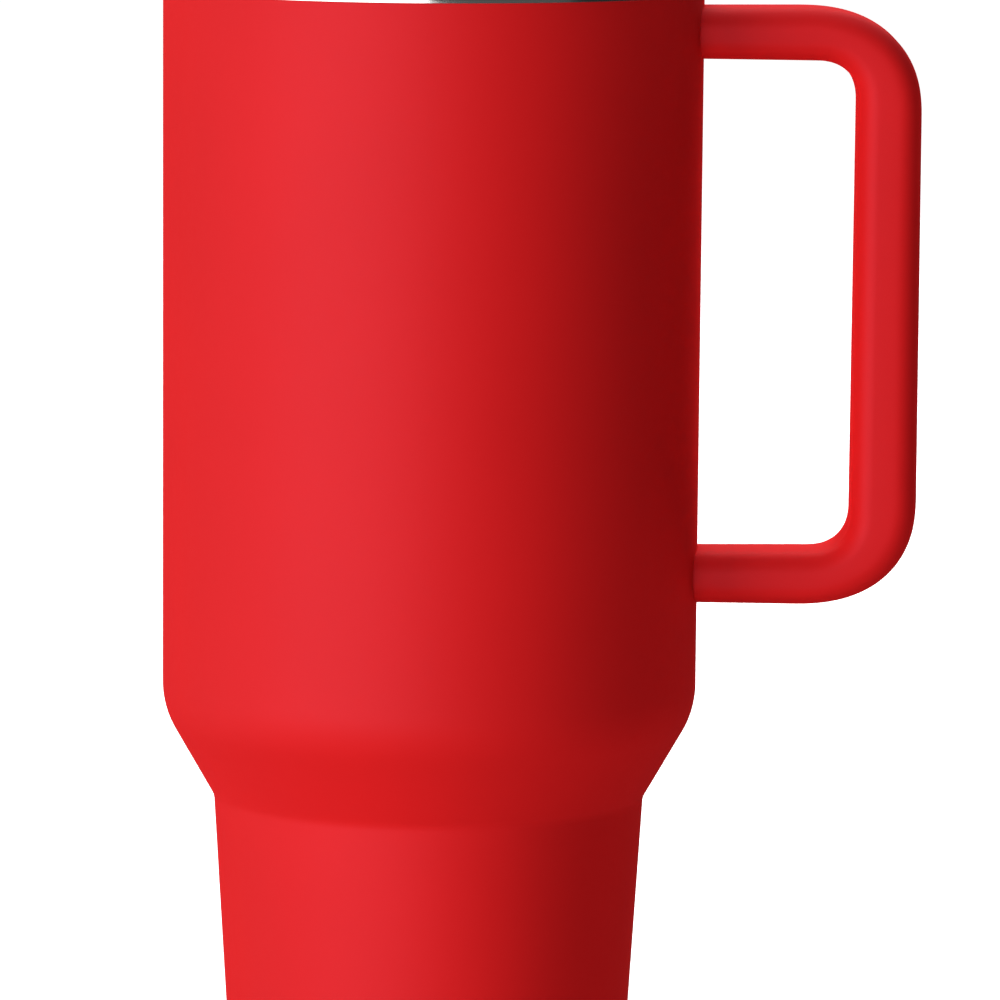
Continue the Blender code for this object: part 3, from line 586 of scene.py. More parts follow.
@once
def black_plastic(look):
    """Black moulded plastic with a fine spark-eroded texture."""
    shader = new_finish("black_plastic", IOR=1.5)
    place = shader.coordinates()
    texture = shader.noise(place, 0.3 * MM, detail=4.0, roughness=0.65)
    wear = shader.noise(place, 6.0 * MM, detail=3.0)
    return shader.finish(
        Base_Color=shader.shades(shader.ramp(wear, 0.4, 0.75), look.black_colour, 1.0, 1.7),
        Roughness=texture * 0.18 + wear * 0.1 + 0.26,
        Normal=shader.bump(texture, 0.01 * MM),
    )


@once
def silicone(look):
    """Matt black silicone with a soft bloom."""
    shader = new_finish("silicone", IOR=1.43, Specular_IOR_Level=0.4)
    place = shader.coordinates()
    bloom = shader.noise(place, 2.5 * MM, detail=5.0, roughness=0.65)
    skin = shader.noise(place, 0.25 * MM, detail=2.0)
    return shader.finish(
        Base_Color=shader.shades(shader.ramp(bloom, 0.35, 0.8), look.silicone_colour, 1.0, 2.0),
        Roughness=bloom * 0.16 + 0.56,
        Normal=shader.bump(skin, 0.006 * MM),
    )


def plain_metal(name, colour, roughness, grain_size, depth, metallic=1.0):
    """A hidden metal or glass: its tone, roughness and surface vary with one grain."""
    shader = new_finish(name, Metallic=metallic)
    grain = shader.noise(shader.coordinates(), grain_size, detail=4.0, roughness=0.6)
    return shader.finish(
        Base_Color=shader.shades(grain, colour, 0.8, 1.15),
        Roughness=swing(grain, 0.2) + roughness,
        Normal=shader.bump(grain, depth),
    )


# ---------------- operators


class MUG_OT_shell(bpy.types.Operator):
    """The coated outer wall, folded in at the foot and up behind the base cover"""

    bl_idname = "mug.shell"
    bl_label = "Coated shell"

    def execute(self, context):
        shape, look = context.scene.mug_shape, context.scene.mug_finish
        wall = shape.wall
        coat_roll = 0.35 * MM  # rounding of the coat's upper edge
        cover_edge = COVER_HIGH.x + FIT_GAP
        flange_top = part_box("base_plate")[1].z
        outside = wall_corners(shape, 0.0, COAT_EDGE, 0.0, shape.foot_fillet)
        inside = wall_corners(shape, wall, COAT_EDGE, wall, shape.foot_fillet - wall)
        top_outside = (outside[0][0], outside[0][1], coat_roll)
        flange = [
            (cover_edge, 0.0, wall),
            (cover_edge, flange_top, 0.0),
            (cover_edge + wall, flange_top, 0.0),
            (cover_edge + wall, wall, 0.0),
        ]
        profile = outline([top_outside] + outside[1:] + flange + inside[::-1], steps=10)
        shell = turned("shell_surface", profile, shape.turn_steps)
        place_piece(shell, "mug", "coat", powder_coat(look), "outer_shell")
        return {"FINISHED"}


class MUG_OT_liner(bpy.types.Operator):
    """The steel drinking vessel with its rolled lip, and the bare band that meets the coat"""

    bl_idname = "mug.liner"
    bl_label = "Steel liner and lip"

    def execute(self, context):
        shape, look = context.scene.mug_shape, context.scene.mug_finish
        wall = shape.wall
        band_radius = LINER_HIGH.y
        overlap = 0.4 * MM  # how far the band reaches down behind the coat's edge
        band_bottom = COAT_EDGE - overlap
        cavity = wall * 2 + shape.vacuum_gap
        floor_top = FLOOR_UNDERSIDE + wall
        fillet = 8.0 * MM  # round the liner's floor
        inner = wall_corners(shape, cavity, RIM_HEIGHT, floor_top, fillet)
        hidden = wall_corners(shape, cavity - wall, RIM_HEIGHT - wall, FLOOR_UNDERSIDE, fillet + wall)
        roll = shape.lip_fillet
        corners = (
            [(0.0, floor_top, 0.0)]
            + inner[:0:-1]
            + [(*inner[0][:2], roll)]
            + [(band_radius, RIM_HEIGHT, roll), (band_radius, band_bottom, 0.0)]
            + [(band_radius - wall / 2, band_bottom, 0.0), (band_radius - wall / 2, COAT_EDGE + FIT_GAP, 0.0)]
            + [(band_radius - wall, COAT_EDGE + FIT_GAP, 0.0)]
            + [(band_radius - wall, RIM_HEIGHT - wall, roll - wall)]
            + [(*hidden[0][:2], roll - wall)]
            + hidden[1:]
            + [(0.0, FLOOR_UNDERSIDE, 0.0)]
        )
        profile = outline(corners, closed=False, steps=10, spacing=4.0 * MM)
        liner = turned("liner_surface", profile, shape.turn_steps)
        place_piece(liner, "mug", "steel", lip_steel(look), "inner_liner")
        return {"FINISHED"}


class MUG_OT_base(bpy.types.Operator):
    """The recessed steel cover under the mug, pressed with two shallow rings"""

    bl_idname = "mug.base"
    bl_label = "Base cover"

    def execute(self, context):
        shape, look = context.scene.mug_shape, context.scene.mug_finish
        radius = COVER_HIGH.x
        low, high = COVER_LOW.z, COVER_HIGH.z
        edge = 0.2 * MM
        ring_shares = (0.42, 0.86)  # the rings' places, as shares of the cover's radius
        ring_depth = 0.25 * MM
        ring_half_width = 1.6 * MM
        rounding = 1.2 * MM
        corners = [(0.0, low, 0.0)]
        for ring in (radius * share for share in ring_shares):
            corners += [
                (ring - ring_half_width, low, rounding),
                (ring - ring_half_width / 2, low + ring_depth, rounding),
                (ring + ring_half_width / 2, low + ring_depth, rounding),
                (ring + ring_half_width, low, rounding),
            ]
        corners += [(radius, low, edge), (radius, high, edge), (0.0, high, 0.0)]
        cover = turned("cover_surface", outline(corners, closed=False, steps=4), shape.turn_steps)
        place_piece(cover, "mug", "steel", base_steel(look), "base_cover")
        return {"FINISHED"}


class MUG_OT_handle(bpy.types.Operator):
    """The two pressed halves of the handle, welded edge to edge and coated"""

    bl_idname = "mug.handle"
    bl_label = "Handle"

    bend_steps = 32
    arm_steps = 12
    grip_steps = 40
    edge_steps = 12
    face_steps = 6
    wall = 1.0 * MM  # thickness of the pressed halves
    rise_share = 0.4  # how much of what an outer rounding gains over the sides it also gains over the face
    widening = 1.5  # power with which the outer roundings widen round the bends
    sunk = 0.3 * MM  # the arms' roots end this far inside the mouth's radius

    def execute(self, context):
        shape, look = context.scene.mug_shape, context.scene.mug_finish
        for name, side, node in (
            ("handle_front_surface", -1.0, "handle_front_half"),
            ("handle_rear_surface", 1.0, "handle_rear_half"),
        ):
            half = self.half(name, side, shape)
            place_piece(half, "mug", "coat", powder_coat(look), node)
        return {"FINISHED"}

    def quarter(self, corner, reach, fullness, upper):
        """A bend in XZ inside a corner: |u| to the power of fullness plus |w| to the same power is 1, where u
        and w are shares of the reach along the arm and down the grip, measured from the bend's centre."""
        turn = np.linspace(0.0, math.pi / 2, self.bend_steps + 1)
        along, down = np.sin(turn) ** (2 / fullness), np.cos(turn) ** (2 / fullness)
        if not upper:
            along, down = along[::-1], down[::-1]
        side = 1.0 if upper else -1.0
        x = corner[0] - reach[0] * (1 - along)
        z = corner[1] - side * reach[1] * (1 - down)
        return np.stack([x, z], axis=1)

    def loop_lines(self, shape):
        """The loop's outer and inner lines in XZ, with as many points on one as on the other: along the upper
        arm, round a bend, down the grip, round again and back along the lower arm to the vessel's wall."""
        right, top, bottom = HANDLE_HIGH.x, HANDLE_HIGH.z, HANDLE_LOW.z
        inner_right = right - shape.grip_thickness
        arm = shape.arm_thickness
        taper = shape.root_taper
        lines = []
        for upper_x, lower_x, z_top, z_bottom, reach, closing in (
            (right, right, top, bottom, shape.outer_bend, taper),
            (inner_right + shape.grip_taper, inner_right, top - arm, bottom + arm, shape.inner_bend, -taper),
        ):
            first = self.quarter((upper_x, z_top), reach, shape.bend_fullness, True)
            second = self.quarter((lower_x, z_bottom), reach, shape.bend_fullness, False)
            start = np.array([MOUTH_RADIUS, z_top - closing])
            end = np.array([MOUTH_RADIUS, z_bottom + closing])
            parts = [
                self.between(start, first[0], self.arm_steps),
                first,
                self.between(first[-1], second[0], self.grip_steps)[1:],
                second,
                self.between(second[-1], end, self.arm_steps)[1:],
                end[None, :],
            ]
            lines.append(np.concatenate(parts))
        return lines

    def between(self, start, end, pieces):
        """Points from start towards end, without end itself."""
        return start + (end - start) * np.linspace(0.0, 1.0, pieces, endpoint=False)[:, None]

    def section(self, thickness, outer_edge, inner_edge, inset, side):
        """Half of the loop's rounded section at every station, as depths from the outer face and as Y: along
        the outer face from the seam, round a quarter ellipse, over the flat side, round a quarter circle, and
        along the inner face back to the seam."""
        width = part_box("handle_rear_half")[1].y
        quarter = np.linspace(0.0, math.pi / 2, self.edge_steps + 1)
        sine, cosine = np.sin(quarter), np.cos(quarter)
        outer, thick = outer_edge[:, None], thickness[:, None]
        outer_rise = inner_edge + (outer - inner_edge) * self.rise_share
        first = outer - (outer - inset) * cosine
        first_y = width - outer_rise + (outer_rise - inset) * sine
        second = thick - inner_edge + (inner_edge - inset) * sine
        second_y = np.broadcast_to(width - inner_edge + (inner_edge - inset) * cosine, first_y.shape)
        share = np.linspace(0.0, 1.0, self.face_steps, endpoint=False)
        face_y = share * first_y[:, :1]
        back_y = share[::-1] * second_y[:, -1:]
        face, back = np.full_like(face_y, inset), np.broadcast_to(thick - inset, back_y.shape)
        depth = np.concatenate([face, first, second, back], axis=1)
        return depth, side * np.concatenate([face_y, first_y, second_y, back_y], axis=1)

    def half(self, name, side, shape):
        """The skin and its lining: each section lies on the line from the loop's outer point to its inner
        one, and its outer rounding widens from the arms to the grip."""
        outer, inner = self.loop_lines(shape)
        across = inner - outer
        thickness = np.linalg.norm(across, axis=1)
        across = across / thickness[:, None]
        on_grip = np.clip(np.abs(across[:, 0]), 0.0, 1.0) ** self.widening
        outer_edge = shape.arm_edge + (shape.grip_edge - shape.arm_edge) * on_grip
        sheets = []
        for inset in (0.0, self.wall):
            depth, y = self.section(thickness, outer_edge, shape.arm_edge, inset, side)
            x = outer[:, 0, None] + across[:, 0, None] * depth
            z = outer[:, 1, None] + across[:, 1, None] * depth
            sheets.append(np.stack([x, y, z], axis=-1))
        skin, lining = sheets
        points = np.concatenate([skin, lining[:, ::-1]], axis=1)
        for end in (0, -1):
            points[end, :, 0] = np.sqrt((MOUTH_RADIUS - self.sunk) ** 2 - points[end, :, 1] ** 2)
        half = add_surface(name, points, rows_close=False)
        self.close_ends(half)
        return half

    def close_ends(self, half):
        """Bridges skin and lining at the two roots."""
        bm = bmesh.new()
        bm.from_mesh(half.data)
        rims = [edge for edge in bm.edges if edge.is_boundary]
        bmesh.ops.holes_fill(bm, edges=rims, sides=0)
        bmesh.ops.triangulate(bm, faces=[face for face in bm.faces if len(face.verts) > QUAD])
        bm.to_mesh(half.data)
        bm.free()
        tidy_mesh(half.data)


def lid_radii():
    """(flange, skirt outside, skirt inside, dish floor) radii of the lid."""
    inside = UNDERPLATE_HIGH.x + FIT_GAP
    return LID_HIGH.x, GASKET_HIGH.x - GASKET_REACH, inside, inside - DISH_STEP


def lid_plate():
    """(top, underside) heights of the lid's plate."""
    return SLIDER_LOW.z - FIT_GAP, UNDERPLATE_HIGH.z + FIT_GAP


def slider_front_radius():
    return -SLIDER_LOW.y


def port_radius():
    """Radius of the hole that the straw's grommet sits in."""
    return STRAW_RADIUS + GROMMET_WALL + 2 * FIT_GAP


def slot_path(margin):
    """The sip opening's outline, grown by margin."""
    low, high = SLIDER_SEAL_LOW, SLIDER_SEAL_HIGH
    grow = margin - SEAL_MARGIN
    width, length = high.x - low.x + 2 * grow, high.y - low.y + 2 * grow
    return rounded_rectangle(width, length, box_centre("slider_seal"), length / 2 - SLOT_END_FLAT)


class MUG_OT_lid(bpy.types.Operator):
    """The clear cap and the plate that closes its plug, with their openings, ducts and rails"""

    bl_idname = "mug.lid"
    bl_label = "Lid"

    def execute(self, context):
        shape, look = context.scene.mug_shape, context.scene.mug_finish
        self.cap(shape, look)
        self.underplate(shape, look)
        return {"FINISHED"}

    def cap(self, shape, look):
        flange, skirt, inside, dish = lid_radii()
        under, top = RIM_HEIGHT + FIT_GAP, LID_HIGH.z
        plate_top, plate_under = lid_plate()
        groove_top, groove_low = GASKET_HIGH.z + FIT_GAP, GASKET_LOW.z - FIT_GAP
        groove = skirt - GROOVE_DEPTH
        dish_slope, dish_fillet, flange_fillet = 1.5 * MM, 1.0 * MM, 1.2 * MM
        soft = 0.3 * MM
        profile = [
            (0.0, plate_top, 0.0),
            (dish, plate_top, dish_fillet),
            (dish + dish_slope, top, dish_fillet),
            (flange, top, flange_fillet),
            (flange, under, soft),
            (skirt, under, soft),
            (skirt, groove_top, soft / 2),
            (groove, groove_top, 0.0),
            (groove, groove_low, 0.0),
            (skirt, groove_low, soft / 2),
            (skirt, LID_LOW.z, soft),
            (inside, LID_LOW.z, soft),
            (inside, plate_under, soft),
            (0.0, plate_under, 0.0),
        ]
        cap = turned("lid_cap_surface", outline(profile, closed=False, steps=6), shape.turn_steps)
        for side in (-1, 1):
            combine(cap, self.rail(side, plate_top), "UNION")
        rows = [(0.0, plate_under - MM), (0.0, plate_top + MM)]
        for path in (slot_path(0.0), circle(port_radius(), STRAW_PLACE), circle(VENT_RADIUS, VENT_PLACE)):
            combine(cap, lofted("opening", path, rows), "DIFFERENCE")
        place_piece(cap, "lid", "clear_plastic", clear_plastic(look), "lid_top")

    def rail(self, side, plate_top):
        """One of the two rails that guide the slider."""
        width, height, edge = 1.8 * MM, 2.4 * MM, 0.4 * MM
        x = side * (SLIDER_HIGH.x + RUNNING_GAP + width / 2)
        front = slider_front_radius()
        start = -math.sqrt(front**2 - (abs(x) + width / 2) ** 2)
        end = SLIDER_HIGH.y + SLIDER_TRAVEL
        path = rounded_rectangle(width, end - start, (x, (start + end) / 2), width / 3)
        return lofted("rail", path, round_top(plate_top - MM, plate_top + height, edge))

    def underplate(self, shape, look):
        radius = UNDERPLATE_HIGH.x
        low = UNDERPLATE_LOW.z
        thickness, post_radius, soft = 2.0 * MM, 3.5 * MM, 0.3 * MM
        top = low + thickness
        duct_top = UNDERPLATE_HIGH.z
        profile = [(0.0, low, 0.0), (radius, low, soft), (radius, top, soft), (0.0, top, 0.0)]
        plate = turned("lid_floor_surface", outline(profile, closed=False, steps=4), shape.turn_steps)
        straw_duct = port_radius() + GROMMET_FLANGE + 2 * FIT_GAP
        post_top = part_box("lid_magnet_closed")[0].z - FIT_GAP
        added = [
            (slot_path(DUCT_WALL), duct_top),
            (circle(straw_duct + DUCT_WALL, STRAW_PLACE, LARGE_CIRCLE_STEPS), duct_top),
            (circle(VENT_RADIUS + DUCT_WALL, VENT_PLACE), duct_top),
        ]
        for node in ("lid_magnet_closed", "lid_magnet_open"):
            added.append((circle(post_radius, box_centre(node)), post_top))
        for path, height in added:
            combine(plate, lofted("duct", path, [(0.0, top - MM), (0.0, height)]), "UNION")
        rows = [(0.0, low - MM), (0.0, duct_top + MM)]
        straw_bore = circle(straw_duct, STRAW_PLACE, LARGE_CIRCLE_STEPS)
        for path in (slot_path(0.0), straw_bore, circle(VENT_RADIUS, VENT_PLACE)):
            combine(plate, lofted("bore", path, rows), "DIFFERENCE")
        place_piece(plate, "lid", "clear_plastic", clear_plastic(look), "lid_underplate")


class MUG_OT_seals(bpy.types.Operator):
    """The silicone pieces: the lid's gasket, the straw's grommet and its two stop collars"""

    bl_idname = "mug.seals"
    bl_label = "Seals"

    def execute(self, context):
        shape, look = context.scene.mug_shape, context.scene.mug_finish
        rubber = silicone(look)
        place_piece(self.gasket(shape), "lid", "silicone", rubber, "lid_gasket")
        place_piece(self.grommet(shape), "lid", "silicone", rubber, "straw_grommet")
        for name, node in (
            ("upper_collar_surface", "straw_upper_stop"),
            ("lower_collar_surface", "straw_lower_stop"),
        ):
            place_piece(self.collar(name, node, shape), "straw", "silicone", rubber, node)
        return {"FINISHED"}

    def gasket(self, shape):
        """A band with two lips that sweep outwards and upwards to wipe the liner."""
        _, skirt, _, _ = lid_radii()
        inner = skirt - GROOVE_DEPTH + FIT_GAP
        lip = GASKET_HIGH.x
        land = (0.45, 0.7)  # where a lip is widest, as shares of its height
        low, high = GASKET_LOW.z, GASKET_HIGH.z
        third = (high - low) / 3
        soft = 0.18 * MM
        corners = [(inner, low, soft), (skirt, low, soft)]
        for base in (low + third / 4, high - third * 5 / 4):
            corners += [
                (skirt, base, soft),
                (lip, base + third * land[0], soft),
                (lip, base + third * land[1], soft),
                (skirt, base + third, soft),
            ]
        corners += [(skirt, high, soft), (inner, high, soft)]
        return turned("gasket_surface", outline(corners, steps=4), shape.turn_steps)

    def grommet(self, shape):
        inner = STRAW_RADIUS + FIT_GAP
        flange = GROMMET_HIGH.x - STRAW_PLACE[0]
        neck = port_radius() - FIT_GAP
        low, high = GROMMET_LOW.z, GROMMET_HIGH.z
        lip = 1.2 * MM
        soft = 0.4 * MM
        corners = [
            (inner, low, soft),
            (flange, low, soft),
            (flange, low + lip, soft / 2),
            (neck, low + lip, soft / 2),
            (neck, high - lip, soft / 2),
            (flange, high - lip, soft / 2),
            (flange, high, soft),
            (inner, high, soft),
        ]
        return turned("grommet_surface", outline(corners, steps=5), shape.small_turn_steps, STRAW_PLACE)

    def collar(self, name, node, shape):
        """A short sleeve with full round shoulders and a shallow waist."""
        low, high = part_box(node)
        inner = STRAW_RADIUS + FIT_GAP
        outer = high.x - STRAW_PLACE[0]
        middle = (low.z + high.z) / 2
        waist, half_waist = 0.35 * MM, 1.1 * MM
        edge, shoulder, waist_edge, waist_floor = 0.2 * MM, 0.85 * MM, 0.4 * MM, 0.8 * MM
        corners = [
            (inner, low.z, edge),
            (outer, low.z, shoulder),
            (outer, middle - half_waist, waist_edge),
            (outer - waist, middle, waist_floor),
            (outer, middle + half_waist, waist_edge),
            (outer, high.z, shoulder),
            (inner, high.z, edge),
        ]
        return turned(name, outline(corners, steps=6), shape.small_turn_steps, STRAW_PLACE)


class MUG_OT_slider(bpy.types.Operator):
    """The sliding cover with its thumb ridge, and the pockets under it for its seal and magnet"""

    bl_idname = "mug.slider"
    bl_label = "Slider"

    edge = 0.8 * MM
    front_steps = 24

    def execute(self, context):
        look = context.scene.mug_finish
        low = SLIDER_LOW.z
        deck = low + SLIDER_THICKNESS
        slider = lofted("slider_surface", self.path(), round_top(low, deck, self.edge))
        combine(slider, self.ridge(low, deck), "UNION")
        seal_depth = SLIDER_SEAL_HIGH.z - low + FIT_GAP
        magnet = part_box("slider_magnet")
        magnet_radius = (magnet[1].x - magnet[0].x) / 2 + FIT_GAP
        for path, depth in (
            (slot_path(SEAL_MARGIN + FIT_GAP), seal_depth),
            (circle(magnet_radius, box_centre("slider_magnet")), magnet[1].z - low + FIT_GAP),
        ):
            combine(slider, lofted("pocket", path, [(0.0, low - MM), (0.0, low + depth)]), "DIFFERENCE")
        place_piece(slider, "slider", "black_plastic", black_plastic(look), "slider")
        return {"FINISHED"}

    def path(self):
        """Straight sides and back, and a front edge that is an arc about the lid's centre."""
        front, half, back = slider_front_radius(), SLIDER_HIGH.x, SLIDER_HIGH.y
        spread = math.asin(half / front)
        turn = np.linspace(-spread, spread, self.front_steps + 1) - math.pi / 2
        arc = np.stack([front * np.cos(turn), front * np.sin(turn)], axis=1)
        corner = 2.0 * MM
        corners = [
            (half, arc[-1, 1], 0.0),
            (half, back, corner),
            (-half, back, corner),
            (-half, arc[0, 1], 0.0),
        ]
        rear = outline(corners, closed=False)
        return np.concatenate([arc, rear[1:-1]])

    def ridge(self, low, deck):
        """The thumb ridge: it flares into the deck at its foot and is rounded along its top."""
        width, length, corner, flare = 17.0 * MM, 4.0 * MM, 1.6 * MM, 0.8 * MM
        root = 1.8 * MM  # height above the slider's underside where the ridge starts, inside its deck
        path = rounded_rectangle(width, length, box_centre("slider_seal"), corner)
        turn = np.linspace(0.0, math.pi / 2, 6)
        foot = np.stack([-flare * (1 - np.sin(turn)), deck + flare * (1 - np.cos(turn))], axis=1)
        top = round_top(deck + flare, SLIDER_HIGH.z, self.edge)[1:]
        rows = np.concatenate([[(-flare, low + root)], foot, top])
        return lofted("ridge", path, rows)


class MUG_OT_straw(bpy.types.Operator):
    """The clear straw, with its ends rounded"""

    bl_idname = "mug.straw"
    bl_label = "Straw"

    def execute(self, context):
        shape, look = context.scene.mug_shape, context.scene.mug_finish
        wall, edge = 1.0 * MM, 0.4 * MM
        inner = STRAW_RADIUS - wall
        corners = [
            (inner, STRAW_LOW.z, edge),
            (STRAW_RADIUS, STRAW_LOW.z, edge),
            (STRAW_RADIUS, STRAW_HIGH.z, edge),
            (inner, STRAW_HIGH.z, edge),
        ]
        profile = outline(corners, steps=6, spacing=10.0 * MM)
        straw = turned("straw_surface", profile, shape.small_turn_steps, STRAW_PLACE)
        place_piece(straw, "straw", "clear_plastic", clear_plastic(look), "straw")
        return {"FINISHED"}


class MUG_OT_inner_parts(bpy.types.Operator):
    """Finishes for the pieces inside the walls, the handle, the lid and the slider"""

    bl_idname = "mug.inner_parts"
    bl_label = "Inner parts"

    def execute(self, context):
        look = context.scene.mug_finish
        refinish(base_steel(look), "base_plate", "handle_upper_spigot", "handle_lower_spigot")
        refinish(silicone(look), "slider_seal")
        foil = plain_metal("copper_foil", (0.83, 0.43, 0.26), 0.28, 5.0 * MM, 0.15 * MM)
        refinish(foil, "reflective_foil")
        alloy = plain_metal("getter_alloy", (0.3, 0.3, 0.31), 0.6, 0.4 * MM, 0.05 * MM)
        refinish(alloy, "getter")
        glass = plain_metal("seal_glass", (0.05, 0.07, 0.08), 0.18, 1.5 * MM, 0.02 * MM, metallic=0.0)
        refinish(glass, "vacuum_seal")
        nickel = plain_metal("nickel", (0.66, 0.64, 0.6), 0.2, 0.8 * MM, 0.003 * MM)
        refinish(nickel, "slider_magnet", "lid_magnet_closed", "lid_magnet_open")
        return {"FINISHED"}


class MUG_OT_stage(bpy.types.Operator):
    """The pale floor, the soft lights and the camera"""

    bl_idname = "mug.stage"
    bl_label = "Stage"

    # Name, azimuth and elevation in degrees, width and height in metres, level, and whether it lights the
    # pieces or is only seen in them
    lamps = (
        ("front_left_light", -48.0, 5.0, 0.9, 3.2, 0.89, True),
        ("back_left_light", -139.0, 5.0, 0.9, 3.2, 0.56, True),
        ("low_back_left_light", -150.0, -25.0, 1.2, 1.2, 0.7, True),
        ("low_front_light", -9.0, -25.0, 1.2, 1.2, 0.49, True),
        ("high_front_light", -9.0, 30.0, 1.2, 1.2, 0.1, True),
        ("low_right_light", 120.0, -25.0, 1.2, 1.2, 0.28, True),
        ("back_right_light", 128.0, 5.0, 0.9, 3.2, 0.35, True),
        ("top_light", 180.0, 58.0, 1.6, 1.6, 1.0, True),
        ("front_left_reflector", -35.0, -1.0, 2.6, 0.8, 0.6, False),
        ("front_right_reflector", 32.0, -1.0, 2.2, 0.8, 0.012, False),
        ("left_reflector", -85.0, 5.0, 1.2, 3.2, 0.31, False),
        ("top_reflector", 180.0, 62.0, 2.6, 2.2, 0.3, False),
        ("back_left_reflector", -115.0, 5.0, 1.2, 3.2, 0.1, False),
    )

    def execute(self, context):
        stage = context.scene.mug_stage
        self.floor(stage)
        self.sky(context.scene, stage)
        for name, azimuth, elevation, width, height, level, lights in self.lamps:
            aim = self.direction(math.radians(azimuth), math.radians(elevation))
            self.lamp(name, aim, (width, height), level, lights, stage.lamp_distance)
        self.camera(context.scene, stage)
        context.scene.view_settings.view_transform = "Standard"
        context.scene.view_settings.look = "None"
        return {"FINISHED"}

    def floor(self, stage):
        half = stage.floor_size / 2
        corners = [(-half, -half, 0.0), (half, -half, 0.0), (half, half, 0.0), (-half, half, 0.0)]
        mesh = bpy.data.meshes.new("floor")
        mesh.from_pydata(corners, [], [(0, 1, 2, 3)])
        floor = bpy.data.objects.new("floor", mesh)
        bpy.context.scene.collection.objects.link(floor)
        shader = new_finish("floor", Emission_Strength=1.0)
        place = shader.coordinates()
        distance = shader.node("ShaderNodeVectorMath", {"operation": "LENGTH"}, {0: place}, output=1)
        rise = shader.ramp(distance, stage.shadow_start, stage.shadow_end)
        glow = rise * (stage.floor_glow - stage.floor_glow_near) + stage.floor_glow_near
        tone = shader.noise(place, 20.0 * MM, detail=3.0)
        pale = shader.mix(tone, (0.86, 0.86, 0.86), (0.9, 0.9, 0.9))
        shine = shader.mix(glow, (0.0, 0.0, 0.0), (1.0, 1.0, 1.0))
        finish = shader.finish(Base_Color=pale, Roughness=tone * 0.1 + 0.6, Emission_Color=shine)
        finish.cycles.emission_sampling = "NONE"  # its glow is only seen
        mesh.materials.append(finish)
        floor.visible_diffuse = False
        floor.visible_glossy = False
        floor.visible_shadow = False

    def sky(self, scene, stage):
        """Plain white where it is seen, and in reflections a dark room under a pale ceiling."""
        world = bpy.data.worlds.new("studio")
        scene.world = world
        shader = Shader(world, "Background", Color=(1.0, 1.0, 1.0))
        seen = shader.node("ShaderNodeLightPath", output="Is Camera Ray")
        seen_through = shader.node("ShaderNodeLightPath", output="Is Transmission Ray")
        reflected = shader.node("ShaderNodeLightPath", output="Is Glossy Ray")
        up = shader.split(shader.node("ShaderNodeTexCoord", output="Generated"))[2]
        start, full = 0.3, 0.9  # z of a reflected direction where the ceiling starts, and where it is full
        rise = shader.ramp(up, start, full)
        ceiling = rise * (stage.ceiling_level - stage.wall_level) + stage.wall_level
        shader.finish(Strength=seen + seen_through + reflected * ceiling)

    def direction(self, azimuth, elevation):
        """From the mug's middle out: azimuth 0 is in front and turns towards the handle."""
        flat = math.cos(elevation)
        return Vector((flat * math.sin(azimuth), -flat * math.cos(azimuth), math.sin(elevation)))

    def lamp(self, name, way, size, level, lights, distance):
        """A soft box that faces the mug's middle, and either lights the pieces or is only reflected in them.
        A diffuse ray that hits a light would bring its reflection too, so lights are sampled directly."""
        middle = Vector((0.0, 0.0, (SHELL_LOW.z + SHELL_HIGH.z) / 2))
        data = bpy.data.lights.new(name, "AREA")
        data.shape = "RECTANGLE"
        data.size, data.size_y = size
        data.energy = level * (math.pi * distance) ** 2
        light = bpy.data.objects.new(name, data)
        light.location = middle + way * distance
        light.rotation_euler = way.to_track_quat("Z", "Y").to_euler()
        light.visible_camera = False
        light.visible_diffuse = lights
        light.visible_glossy = not lights
        data.cycles.use_multiple_importance_sampling = not lights
        bpy.context.scene.collection.objects.link(light)

    def camera(self, scene, stage):
        pitch, roll = stage.camera_pitch, stage.camera_roll
        ahead = Vector((0.0, math.cos(pitch), -math.sin(pitch)))
        right = Vector((1.0, 0.0, 0.0))
        up = right.cross(ahead)
        leaned_right = right * math.cos(roll) + up * math.sin(roll)
        leaned_up = up * math.cos(roll) - right * math.sin(roll)
        data = bpy.data.cameras.new("camera")
        data.lens = stage.lens
        data.clip_end = 100.0
        camera = bpy.data.objects.new("camera", data)
        turn = Matrix((leaned_right, leaned_up, -ahead)).transposed().to_4x4()
        place = Vector((stage.camera_offset, -stage.camera_distance, stage.camera_height))
        camera.matrix_world = Matrix.Translation(place) @ turn
        scene.collection.objects.link(camera)
        scene.camera = camera


class MUG_PT_panel(bpy.types.Panel):
    """Buttons for each piece of the mug and its stage"""

    bl_idname = "MUG_PT_panel"
    bl_label = "Travel mug"
    bl_space_type = "VIEW_3D"
    bl_region_type = "UI"
    bl_category = "Mug"

    def draw(self, context):
        for operator in OPERATORS:
            self.layout.operator(operator.bl_idname)
        for settings in (context.scene.mug_shape, context.scene.mug_finish, context.scene.mug_stage):
            box = self.layout.box()
            for key in settings.__annotations__:
                box.prop(settings, key)


OPERATORS = (
    MUG_OT_stage,
    MUG_OT_shell,
    MUG_OT_liner,
    MUG_OT_base,
    MUG_OT_handle,
    MUG_OT_lid,
    MUG_OT_seals,
    MUG_OT_slider,
    MUG_OT_straw,
    MUG_OT_inner_parts,
)
CLASSES = (MugShape, MugFinish, MugStage, *OPERATORS, MUG_PT_panel)


def register():
    for cls in CLASSES:
        bpy.utils.register_class(cls)
    bpy.types.Scene.mug_shape = PointerProperty(type=MugShape)
    bpy.types.Scene.mug_finish = PointerProperty(type=MugFinish)
    bpy.types.Scene.mug_stage = PointerProperty(type=MugStage)


def unregister():
    del bpy.types.Scene.mug_stage
    del bpy.types.Scene.mug_finish
    del bpy.types.Scene.mug_shape
    for cls in reversed(CLASSES):
        bpy.utils.unregister_class(cls)


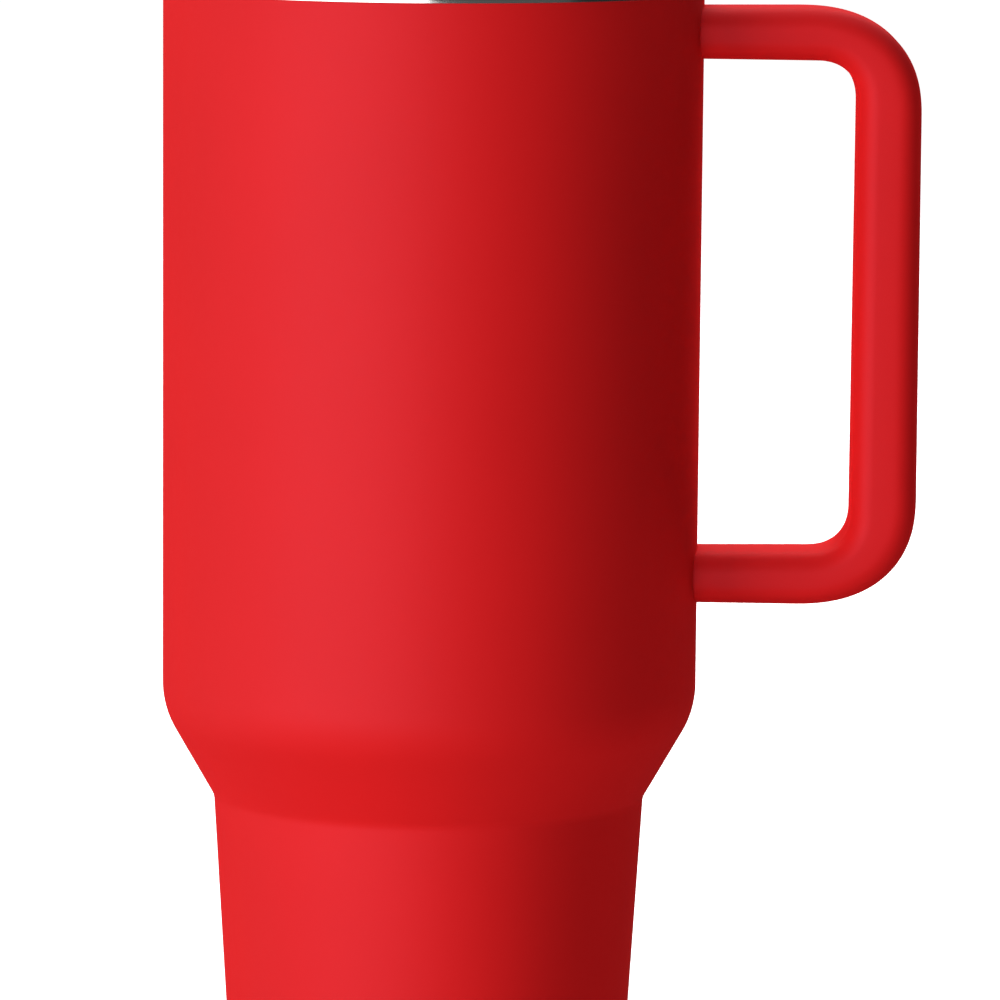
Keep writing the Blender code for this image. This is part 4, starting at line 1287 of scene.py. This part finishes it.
def main():
    register()
    bpy.ops.mug.stage()
    bpy.ops.mug.shell()
    bpy.ops.mug.liner()
    bpy.ops.mug.base()
    bpy.ops.mug.handle()
    bpy.ops.mug.lid()
    bpy.ops.mug.seals()
    bpy.ops.mug.slider()
    bpy.ops.mug.straw()
    bpy.ops.mug.inner_parts()


if __name__ == "__main__":
    main()
